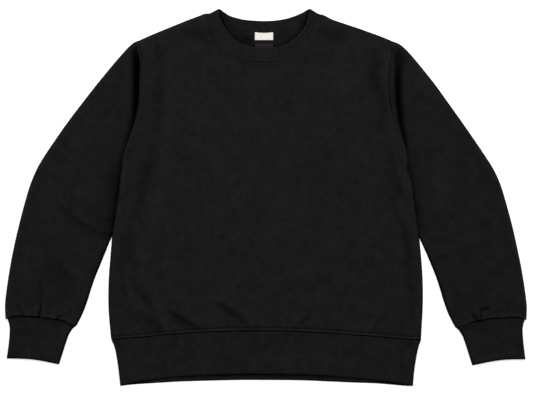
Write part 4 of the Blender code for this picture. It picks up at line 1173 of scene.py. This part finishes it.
def make_sleeve(side):
    """A sleeve: a flattened tube, with the pleat under the body's edge in its front sheet.

    A column's place down the sleeve is its distance from the armhole. Through the pleat that
    distance and the height follow the pleat's section, which turns back under its own crest.
    """
    c = cloth()
    wall = c["fleece_wall"]
    armhole, cuff, outer_edge, inner_edge = sleeve_edges(side)
    length = run_of(outer_edge)[-1], run_of(inner_edge)[-1]
    section = along(smooth(PLEAT_SECTION, 0.1), np.linspace(0.0, 1.0, PLEAT_ROWS))
    rest = spaced(1.0, 1.0 / SLEEVE_ROWS, False, False)[1:]
    tail = np.array(EDGE_STEPS)[::-1] / SLEEVE_RUN
    rest = np.concatenate((rest[rest < 1.0 - tail[0] - 0.004], 1.0 - tail))

    def crossing(across, column_length, wanted):
        """Run down each column to where its distance from the armhole reaches a wanted value."""
        steps = np.linspace(0.0, *PLEAT_SEARCH)[:, None]
        plan = coons(armhole, cuff, outer_edge, inner_edge,
                     np.broadcast_to(across, (len(steps), len(across))), steps / column_length)
        apart, share = nearest(armhole, plan[..., 0], plan[..., 1])
        return steps[np.argmax(apart > wanted(pleat_at(share, side)), axis=0), 0]

    def sheet(across, with_pleat):
        """Plan, run from both ends, and the pleat's strength, strip and gap, over the columns."""
        column_length = (1.0 - across) * length[0] + across * length[1]
        strip = crossing(across, column_length, lambda pleat: pleat[0])
        gap = crossing(across, column_length, lambda pleat: pleat[1] + 0.15 * pleat[2]) - strip
        gap = np.clip(gap, *PLEAT_GAPS)
        strength = pleat_at(across, side)[5]
        end = strip + section[-1, 1] * gap
        even = np.linspace(0.0, 1.0, len(section))[:, None] * end
        folded = section[:, :1] * strip + section[:, 1:2] * gap
        first = strength * folded + (1.0 - strength) * even if with_pleat else even
        run = np.vstack((first, end + rest[:, None] * (column_length - end)))
        a = np.broadcast_to(across[None, :], run.shape)
        plan = coons(armhole, cuff, outer_edge, inner_edge, a, np.clip(run / column_length, 0.0, 1.0))
        return plan, run, column_length - run, strength, strip, gap

    # Front: through the pleat's rows the cloth is lifted off the bed that it lies on
    inset = (wall + 0.2) / SLEEVE_WIDTH
    across = np.linspace(inset, 1.0 - inset, int(SLEEVE_WIDTH / SLEEVE_STEP))
    plan, run, left_over, strength, strip, gap = sheet(across, True)
    x, y = plan[..., 0], plan[..., 1]
    low = front_floor(x, y)
    top = low + wall
    rows = len(section)
    reach = np.clip(section[:, 1:2] / section[-1, 1], 0.0, 1.0)
    bed = 2.0 * wall + c["layer_gap"]
    lifted = bed + section[:, 2:3] * (top[:rows] + c["crest"] * (1.0 - reach) - bed)
    top[:rows] = strength * lifted + (1.0 - strength) * top[:rows]
    # Inside of the front: no fold, but a dip down to the bed under the pleat
    inner_plan, inner_run, _, _, _, _ = sheet(across, False)
    dip = ease(inner_run / (0.4 * strip + 0.5)) * (1.0 - ease((inner_run - strip - gap) / (3.0 * gap)))
    inner_low = front_floor(inner_plan[..., 0], inner_plan[..., 1])
    inner_low -= strength * dip * (inner_low - wall - c["layer_gap"])
    # Relief beside the cuff seam and the armhole; painted shade and light: a little over the whole sleeve,
    # and beside the seams, the pleat, the body's side and the folds, with a light rim along the outer fold
    gathers = pucker(x, left_over, 0.50, 13.0, 12.0)
    top += seam_relief(left_over, stitched=False) + gathers
    sharp = armhole_sharp(y, side) * (np.arange(len(run)) < 6)[:, None]
    top -= sharp * rounding(run, 1.2)
    top = np.maximum(top, inner_low + THIN_SLEEVE)
    shade = pleat_shade(x, y, side)
    # Under its crest the turned-back cloth gets the pleat's full painted shade
    shade[:rows] = np.maximum(shade[:rows], section[:, 3:] * pleat_at(across, side)[3])
    shade += 0.05 + sharp * 0.45 * bell(run, 0.0, 1.4)
    seam_depth = np.interp(across, *np.array(CUFF_SEAM_DEPTHS[side]).T)
    shade += seam_shade(left_over, 0.80 * seam_depth, 0.26, spread=1.9) - 0.2 * gathers
    shade += creases(x, y)[1] + beside_body(x, y, side)
    shade -= 0.24 * bell(distance(outer_edge, x, y), 4.0, 3.0)
    free_edge = ease((-58.0 - y) / 14.0)
    shade += 0.75 * free_edge * bell(distance(inner_edge, x, y), 0.0, 3.8)
    # Back: flat on the surface; then both layers are closed at the folds
    back_across = np.linspace(across[0], across[-1], BACK_COLUMNS)[::-1]
    back_plan, back_run, back_left, _, _, _ = sheet(back_across, False)
    ends = np.minimum(rounding(back_run, 1.6) + rounding(back_left, 1.6), 1.0)
    back_low = 0.4 * ends
    down = [np.clip(back_run[:, index] / back_run[-1, index], 0.0, 1.0) for index in (-1, 0)]
    edges = along(inner_edge, down[1]), along(outer_edge, down[0])
    back = back_plan, back_low, back_low + wall
    outer, _ = close_rings((plan, top, low), back, edges, wall)
    _, inner = close_rings((inner_plan, inner_low + wall, inner_low), back, edges, wall)
    uv = cloth_uv(np.cumsum(np.full(outer.shape[1], SLEEVE_STEP)) * MM,
                  np.linspace(0.0, 0.5, outer.shape[0]))
    # Painted shade round the folds: dark round the inner fold below the parting, and light on top of the
    # outer one, turning dark below
    around_shade = np.zeros(outer.shape[:2])
    around_shade[:, :len(across)] = shade
    around_shade[:, len(across):len(across) + len(FOLD_ANGLES)] = fold_shade(0.85) * free_edge[:, -1:]
    around_shade[:, -len(FOLD_ANGLES):] = fold_shade(-0.20)[::-1]
    name = ("sleeve_cloth_left", "sleeve_cloth_right")[side]
    return put_tube(name, outer, inner, np.tile(around_shade.ravel(), 2), np.tile(uv, (2, 1)), "fleece_face")


def rib_profile(share, ribs):
    """Height across rounded ribs, 1 on a crest and 0 in the narrow groove between two."""
    return np.abs(np.cos(math.pi * ribs * share)) ** 0.8


def make_band(name, front_lines, back_lines, sides, width, seam_depths=((0.0, 1.0), (1.0, 1.0))):
    """A rib band: a flattened, doubled tube of ribs between a seam and a folded free edge.

    front_lines and back_lines are (seam, free edge) in plan and sides its (near, far) folds. The
    wall is round at the free edge, and falls into the seam at the other. seam_depths scales the
    seam's painted shade by the share across.
    """
    c = cloth()
    tone = dict(zip(BAND_TONES, BAND_SHADES[name]))
    wall, relief = c["rib_wall"], c["rib_relief"]
    half = 0.5 * wall - 0.1
    ribs = int(round(width / c["rib_pitch"]))
    inset = (wall + 0.45) / width
    across = np.linspace(inset, 1.0 - inset, ribs * RIB_SIDES + 1)
    ribbed = rib_profile((across - inset) / (1.0 - 2.0 * inset), ribs)[None, :]
    seam_depth = np.interp(across, *np.array(seam_depths).T)[None, :]
    height = np.linalg.norm(np.subtract(*(line[len(line) // 2] for line in front_lines)))
    down_outer = spaced(height, height / BAND_ROWS, True, True) / height
    tall = len(down_outer) > 24
    down_inner = down_outer[INNER_RINGS] if tall else down_outer

    def rings(down):
        """Outer and inner rings of the wall, and the outer one's painted shade, at shares of the height."""
        d, a = down[:, None], across[None, :]
        front = coons(*front_lines, *sides, a, d)
        back = coons(*back_lines, *sides, a, d)[:, ::-1]
        from_seam, from_edge = d * height, (1.0 - d) * height
        ends = front[[0, -1]]
        at_ends = front_floor(ends[..., 0], ends[..., 1], 0.25) + wall - c["fleece_wall"]
        low = (1.0 - d) * at_ends[0] + d * at_ends[1]
        low[:, [0, -1]] = np.maximum(low[:, [0, -1]], wall + 0.9)
        turn = rounding(from_edge, 1.5)
        fall = rounding(from_seam, 1.6)
        crown = BAND_CROWN * np.sin(math.pi * d)
        bulk = relief * ribbed * (1.0 - 0.35 * fall)
        crease, dark = creases(front[..., 0], front[..., 1], BAND_CREASES)
        crown = crown + 0.7 * crease * ease(from_seam / 4.0) * ease(from_edge / 8.0)
        top = low + wall + crown + bulk - fall - turn * (half + bulk)
        back_out = 0.45 * relief * (1.0 - ribbed) + turn * half + 0.3 * fall
        back_in = wall + 0.6 * relief * ribbed - turn * half - 0.5 * fall
        folds = along(sides[1], down), along(sides[0], down)
        outer, inner = close_rings((front, top, low + turn * half), (back, back_out, back_in), folds, wall)
        # Painted shade and light: dark in the seam with a light ridge beside it, the fall behind, the free
        # edge, the grooves between ribs, the creases and the folds
        seam = seam_shade(from_seam, tone["seam"] * seam_depth, tone["ridge"], spread=tone["spread"])
        seam = seam + tone["fall"] * np.exp(-from_seam / 10.0)
        seam = seam + tone["rim"] * bell(from_edge, 0.0, tone["rim_reach"])
        sides_dark = tone["near"] * bell(a * width, 0.0, 3.0)
        sides_dark = sides_dark + tone["far"] * bell((1.0 - a) * width, 0.0, 3.0)
        open_shade = (1.0 - ribbed) * 0.10 + seam
        shade = np.concatenate((open_shade + dark + sides_dark, seam[:, -1:] + fold_shade(tone["far"]),
                                open_shade[:, ::-1], seam[:, :1] + fold_shade(tone["near"])[::-1]), axis=1)
        return outer, inner, shade

    outer, _, shade_outer = rings(down_outer)
    _, inner, _ = rings(down_inner)
    x, y = inner[..., 0], inner[..., 1]
    apart = distance(front_lines[1][::3], x, y)
    # Painted shade on the layer behind: a painted shadow beside the front's free edge, and shade at the
    # folded tips, the inside creases, the free edge and the seam
    shade_inner = tone["close"] * bell(apart, 0.0, 2.2) + tone["further"] * np.exp(-apart / 9.0)
    run = height * down_inner[:, None]
    tips = bell(across * width, 0.0, 9.0) + bell((1.0 - across) * width, 0.0, 9.0)
    bends = np.ones(len(FOLD_ANGLES))
    shade_inner += tone["tips"] * np.concatenate((tips, bends, tips[::-1], bends))
    shade_inner += creases(x, y, INSIDE_CREASES)[1]
    shade_inner += tone["lip"] * bell(run, height, 1.5) + tone["inner_seam"] * bell(run, 0.0, 1.6)
    around = np.arange(outer.shape[1]) * (width / (ribs * RIB_SIDES)) * MM
    uv = np.vstack([cloth_uv(around, down * height * MM) for down in (down_outer, down_inner)])
    press = np.concatenate((shade_outer.ravel(), shade_inner.ravel()))
    return put_tube(name, outer, inner, press, uv, "rib_knit")


def between(line, start, end):
    """The stretch of a polyline between the points nearest to two others."""
    first = int(np.argmin(np.hypot(*(line - start).T)))
    last = int(np.argmin(np.hypot(*(line - end).T)))
    return np.vstack((start, line[first + 1:last], end))


def make_hem():
    """The hem band, whose back hangs a little lower than its front."""
    seam = offset(smooth(HEM_SEAM), SEAM_LAP)
    sides = [smooth(by_height(HEM_SIDES, side)) for side in (0, 1)]
    for line in sides:
        line[0, 1] = np.interp(line[0, 0], seam[:, 0], seam[:, 1])
    seam = between(seam, sides[0][0], sides[1][0])
    front, back = smooth(columns(HEM_EDGES, 0, 1)), smooth(columns(HEM_EDGES, 0, 2))
    return make_band("hem_band", (seam, front), (seam, back), sides, HEM_WIDTH)


def make_cuff(side):
    """A cuff, a little narrower than the sleeve that is gathered into it."""
    away = (1.0, -1.0)[side]
    seam = offset(smooth(pair_of(CUFF_SEAMS, side)), away * SEAM_LAP)
    sides = [smooth(pair_of(table, side)) for table in (CUFF_OUTER, CUFF_INNER)]
    order = np.argsort(seam[:, 0])
    for line in sides:
        line[0, 1] = np.interp(line[0, 0], seam[order, 0], seam[order, 1])
    seam = between(seam, sides[0][0], sides[1][0])
    end = smooth(pair_of(CUFF_ENDS, side))
    name = ("cuff_band_left", "cuff_band_right")[side]
    return make_band(name, (seam, end), (seam, end), sides, CUFF_WIDTH, CUFF_SEAM_DEPTHS[side])


def make_neck():
    """The collar: its front hangs over the front edge of the neck, its back lies flat behind."""
    front_seam = offset(smooth(NECK_FRONT_SEAM), -SEAM_LAP)
    back_seam = offset(smooth(NECK_BACK_SEAM), -SEAM_LAP)
    front_seam[[0, -1]] = back_seam[[0, -1]] = np.array((NECK_FRONT_SEAM[0], NECK_FRONT_SEAM[-1]))
    front, back = smooth(NECK_FRONT_EDGE), smooth(NECK_BACK_EDGE)
    sides = [smooth(pair_of(NECK_SIDES, side)) for side in (0, 1)]
    return make_band("neck_band", (front_seam, front), (back_seam, back), sides, NECK_WIDTH,
                     NECK_SEAM_DEPTHS)


# Labels ------------------------------------------------------------------------------------------

# Labels inside the back neck: centre x, centre y, width, height, lift of the free edge, sag of the
# sewn edge
NECK_LABEL = (-3.75, 306.4, 34.6, 15.0, 0.5, 1.3)
CARE_LABEL = (-3.6, 286.8, 34.4, 20.0, 0.1, 0.0)
LABEL_STEPS = np.array((0.0, 0.1, 0.25, 0.45, 0.7, 1.1, 1.6))   # grid lines at a label's edge


def label_steps(length):
    """Shares of a label's length for its grid lines, closer together at both ends."""
    middle = np.linspace(2.2, length - 2.2, int(length / 0.8))
    return np.concatenate((LABEL_STEPS, middle, length - LABEL_STEPS[::-1])) / length


def make_label(name, place, kind):
    """A ribbon label: a thin sheet that bows a little and has soft folded ends.

    The free edge lifts with the square of the distance from the sewn one, and a low sine runs
    across. A painted shadow of the neck label darkens what lies just below it.
    """
    c = cloth()
    x0, y0, width, height, lift, sag = place
    u, v = np.meshgrid(label_steps(width), label_steps(height))
    y = y0 + (v - 0.5) * height - sag * v * 4.0 * u * (1.0 - u)
    plan = np.stack((x0 + (u - 0.5) * width, y), axis=-1)
    from_end = np.minimum(u, 1.0 - u) * width
    edge = np.minimum(from_end, np.minimum(v, 1.0 - v) * height)
    low = c["fleece_wall"] + c["layer_gap"] + lift * (1.0 - v) ** 2 + 0.12 * np.sin(5.0 * u + 1.0) ** 2
    high = low + LABEL_WALL - 0.3 * rounding(edge, 0.7) + 0.18 * bell(from_end, 2.2, 1.1)
    # Painted shadow below the neck label
    below = NECK_LABEL[1] - 0.5 * NECK_LABEL[3] - y
    shadow = 0.5 * (1.0 - ease((below - 3.2) / 1.0)) + 0.95 * (1.0 - ease((below - 5.6) / 3.4))
    return put_sheet(name, plan, high, low, np.where(below > 0.0, shadow, 0.0), kind)


# Sewing ------------------------------------------------------------------------------------------

STITCH_SIDES = 5
STITCH_RINGS = ((-0.5, 0.35), (-0.36, 0.9), (0.0, 1.0), (0.36, 0.9), (0.5, 0.35))


def stitch_row(line, heights):
    """Stitches along a line in plan, each a small spindle that lies on the cloth.

    A stitch is a short tube of five sides whose radius swells from 0.35 to 1 of the thread's, and
    the tubes follow the line a stitch length apart. Returns points and quads.
    """
    c = cloth()
    count = max(2, int(run_of(line)[-1] / c["stitch"]))
    middle = (np.arange(count) + 0.5) / count
    step = 0.5 / count
    place = along(line, middle)
    ahead = along(line, middle + step) - along(line, middle - step)
    ahead /= np.linalg.norm(ahead, axis=1)[:, None]
    side = np.stack((-ahead[:, 1], ahead[:, 0]), axis=1)
    rings = np.array(STITCH_RINGS)
    angle = np.linspace(0.0, 2.0 * math.pi, STITCH_SIDES, endpoint=False)
    radius = 0.5 * c["thread"]
    lengthwise = rings[:, 0] * STITCH_FILL * c["stitch"]
    across = rings[:, 1:] * np.cos(angle) * radius
    upward = rings[:, 1:] * np.sin(angle) * radius
    xy = (place[:, None, None] + ahead[:, None, None] * lengthwise[None, :, None, None]
          + side[:, None, None] * across[None, :, :, None])
    arch = STITCH_ARCH * (1.0 - (rings[:, 0] / 0.5) ** 2)
    z = heights(place)[:, None, None] + upward[None] + arch[None, :, None]
    points = np.concatenate((xy, z[..., None]), axis=-1)
    quads = grid_quads(0, len(rings), STITCH_SIDES, True)
    firsts = np.arange(count)[:, None, None] * len(rings) * STITCH_SIDES
    return points.reshape(-1, 3), (quads[None] + firsts).reshape(-1, 4)


def put_stitches(name, lines, heights):
    """One object of several rows of stitches, with small caps at the ends of each stitch."""
    points, quads, count = [], [], 0
    for line in lines:
        row_points, row_quads = stitch_row(line, heights)
        points.append(row_points)
        quads.append(row_quads + count)
        count += len(row_points)
    per = len(STITCH_RINGS) * STITCH_SIDES
    first = np.arange(0, count, per)[:, None]
    last = first + per - STITCH_SIDES
    faces = np.vstack(quads).tolist()
    for cap in (first + (0, 1, 2, 3), first + (0, 3, 4), last + (3, 2, 1, 0), last + (4, 3, 0)):
        faces += cap.tolist()
    mesh = bpy.data.meshes.new(name)
    mesh.from_pydata((np.vstack(points) * MM).tolist(), [], faces)
    mesh.validate()
    mesh.uv_layers.new(name="Cloth")
    mesh.materials.append(finish_named("sewing_thread"))
    mesh.shade_smooth()
    return put_object(name, mesh)


def on_surface(piece):
    """A function that gives the height of a piece's upper face over points in plan.

    It is the mean of the four nearest points' heights, weighted by one over squared distance.
    """
    count = len(piece.data.vertices) // 2
    co = np.zeros(len(piece.data.vertices) * 3, np.float32)
    piece.data.vertices.foreach_get("co", co)
    upper = co.reshape(-1, 3)[:count] / MM

    def heights(place):
        """Heights over an array of points, in blocks of 64."""
        best = np.empty(len(place))
        for start in range(0, len(place), 64):
            block = place[start:start + 64]
            gap = ((upper[None, :, :2] - block[:, None]) ** 2).sum(axis=-1)
            near = np.argpartition(gap, 4, axis=1)[:, :4]
            weight = 1.0 / (np.take_along_axis(gap, near, axis=1) + 0.05)
            best[start:start + 64] = (upper[near, 2] * weight).sum(axis=1) / weight.sum(axis=1)
        return best

    return heights


# Operators ---------------------------------------------------------------------------------------

PIECES = {}


def settle(piece, nodes):
    """Declares a finished cloth: what it rides on and what it stands for."""
    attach(piece, "root")
    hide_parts(*nodes)
    PIECES[piece.name] = piece


class SWEATSHIRT_OT_body(bpy.types.Operator):
    """Build the front and back panels"""

    bl_idname = "sweatshirt.body"
    bl_label = "Body panels"

    def execute(self, context):
        settle(make_back(), ("back_panel",))
        settle(make_front(), ("front_panel",))
        return {"FINISHED"}


class SWEATSHIRT_OT_sleeves(bpy.types.Operator):
    """Build the two sleeves"""

    bl_idname = "sweatshirt.sleeves"
    bl_label = "Sleeves"

    def execute(self, context):
        for side, name in enumerate(("sleeve_left", "sleeve_right")):
            settle(make_sleeve(side), (name,))
        return {"FINISHED"}


class SWEATSHIRT_OT_ribs(bpy.types.Operator):
    """Build the rib bands of neck, hem and cuffs"""

    bl_idname = "sweatshirt.ribs"
    bl_label = "Rib bands"

    def execute(self, context):
        settle(make_hem(), ("hem_rib",))
        for side, name in enumerate(("cuff_left", "cuff_right")):
            settle(make_cuff(side), (name,))
        settle(make_neck(), ("neck_rib",))
        return {"FINISHED"}


class SWEATSHIRT_OT_labels(bpy.types.Operator):
    """Build the two labels inside the back neck"""

    bl_idname = "sweatshirt.labels"
    bl_label = "Labels"

    def execute(self, context):
        settle(make_label("neck_ribbon", NECK_LABEL, "label_ribbon"), ("neck_label",))
        settle(make_label("care_ribbon", CARE_LABEL, "care_tape"), ("care_label",))
        return {"FINISHED"}


class SWEATSHIRT_OT_sewing(bpy.types.Operator):
    """Sew the topstitching beside the neck seam and the hem seam"""

    bl_idname = "sweatshirt.sewing"
    bl_label = "Sewing"

    def execute(self, context):
        front = on_surface(PIECES["front_cloth"])
        seams = {"neck_stitching": (NECK_FRONT_SEAM, -1.0, 6), "hem_stitching": (HEM_SEAM, 1.0, 2)}
        for name, (seam, way, cut) in seams.items():
            lines = [offset(smooth(seam), way * gap)[cut:-cut] for gap in TOPSTITCH]
            piece = put_stitches(name, lines, front)
            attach(piece, "root")
        return {"FINISHED"}


class SWEATSHIRT_OT_stage(bpy.types.Operator):
    """Set the floor, the lights and the camera above the garment"""

    bl_idname = "sweatshirt.stage"
    bl_label = "Stage"

    def execute(self, context):
        make_floor()
        make_lights()
        make_camera()
        return {"FINISHED"}


def make_floor():
    """A wide plain floor, just below the garment."""
    x, y = np.meshgrid((-FLOOR_SPAN, FLOOR_SPAN), (-FLOOR_SPAN, FLOOR_SPAN))
    points = np.stack((x, y, np.full_like(x, -FLOOR_DROP)), axis=-1).reshape(-1, 3)
    mesh = bpy.data.meshes.new("floor")
    mesh.from_pydata(points.tolist(), [], [(0, 1, 3, 2)])
    finish, _ = new_finish("floor_paper", {
        "Base Color": (*bpy.context.scene.sweatshirt_colors.floor, 1.0), "Roughness": 0.95,
        "Specular IOR Level": 0.05, "Emission Color": (1.0, 1.0, 1.0, 1.0),
        "Emission Strength": bpy.context.scene.sweatshirt_stage.glow})
    mesh.materials.append(finish)
    put_object("floor", mesh)


def add_sun(name, strength, tilt, turn, spread):
    """A wide soft light from a tilt off straight above, turned about the upright."""
    light = bpy.data.lights.new(name, "SUN")
    light.energy = strength
    light.angle = math.radians(spread)
    put_object(name, light).rotation_euler = (math.radians(tilt), 0.0, math.radians(turn))


def add_panel_light(name, power, place, aim, size):
    """A large square light at a place in metres, turned towards a point."""
    light = bpy.data.lights.new(name, "AREA")
    light.energy = power
    light.size = size
    lamp = put_object(name, light)
    lamp.location = place
    lamp.rotation_euler = (Vector(aim) - Vector(place)).to_track_quat("-Z", "Y").to_euler()
    lamp.visible_camera = False


def make_lights():
    """A large soft light above the chest, a fill from the right, and light from all around."""
    stage = bpy.context.scene.sweatshirt_stage
    add_panel_light("key_light", stage.key, (-0.15, 0.6, 1.7), (0.0, 0.1, 0.0), 1.2)
    add_sun("fill_light", stage.fill, 48.0, 110.0, 60.0)
    world = bpy.data.worlds.new("studio")
    world.use_nodes = True
    background = world.node_tree.nodes["Background"]
    background.inputs["Color"].default_value = (1.0, 1.0, 1.0, 1.0)
    background.inputs["Strength"].default_value = stage.ambient
    bpy.context.scene.world = world


def make_camera():
    """A camera straight above, whose distance gives the field at the cloth's middle height."""
    stage = bpy.context.scene.sweatshirt_stage
    data = bpy.data.cameras.new("camera")
    data.lens = stage.lens
    data.sensor_width = 36.0
    camera = put_object("camera", data)
    away = stage.field * stage.lens / data.sensor_width
    camera.location = (stage.aim_x, stage.aim_y, away + CLOTH_MIDDLE)
    bpy.context.scene.camera = camera
    bpy.context.scene.view_settings.view_transform = "Standard"


class SWEATSHIRT_PT_panel(bpy.types.Panel):
    """Sizes, colours and steps in the sidebar"""

    bl_label = "Sweatshirt"
    bl_space_type = "VIEW_3D"
    bl_region_type = "UI"
    bl_category = "Sweatshirt"

    def draw(self, context):
        for group in (context.scene.sweatshirt_cloth, context.scene.sweatshirt_colors,
                      context.scene.sweatshirt_stage):
            box = self.layout.box()
            for name in group.__annotations__:
                box.prop(group, name)
        for step in STEPS:
            self.layout.operator(step.bl_idname)


STEPS = (SWEATSHIRT_OT_body, SWEATSHIRT_OT_sleeves, SWEATSHIRT_OT_ribs, SWEATSHIRT_OT_labels,
         SWEATSHIRT_OT_sewing, SWEATSHIRT_OT_stage)
SETTINGS = {"sweatshirt_cloth": SweatshirtCloth, "sweatshirt_colors": SweatshirtColors,
            "sweatshirt_stage": SweatshirtStage}


def register():
    """Adds the settings, the operators and the panel to Blender."""
    for kind in (*SETTINGS.values(), *STEPS, SWEATSHIRT_PT_panel):
        bpy.utils.register_class(kind)
    for name, kind in SETTINGS.items():
        setattr(bpy.types.Scene, name, PointerProperty(type=kind))


def unregister():
    """Takes them out again."""
    for name in SETTINGS:
        delattr(bpy.types.Scene, name)
    for kind in (SWEATSHIRT_PT_panel, *reversed(STEPS), *SETTINGS.values()):
        bpy.utils.unregister_class(kind)


def main():
    """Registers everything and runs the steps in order."""
    register()
    bpy.ops.sweatshirt.body()
    bpy.ops.sweatshirt.sleeves()
    bpy.ops.sweatshirt.ribs()
    bpy.ops.sweatshirt.labels()
    bpy.ops.sweatshirt.sewing()
    bpy.ops.sweatshirt.stage()


if __name__ == "__main__":
    main()
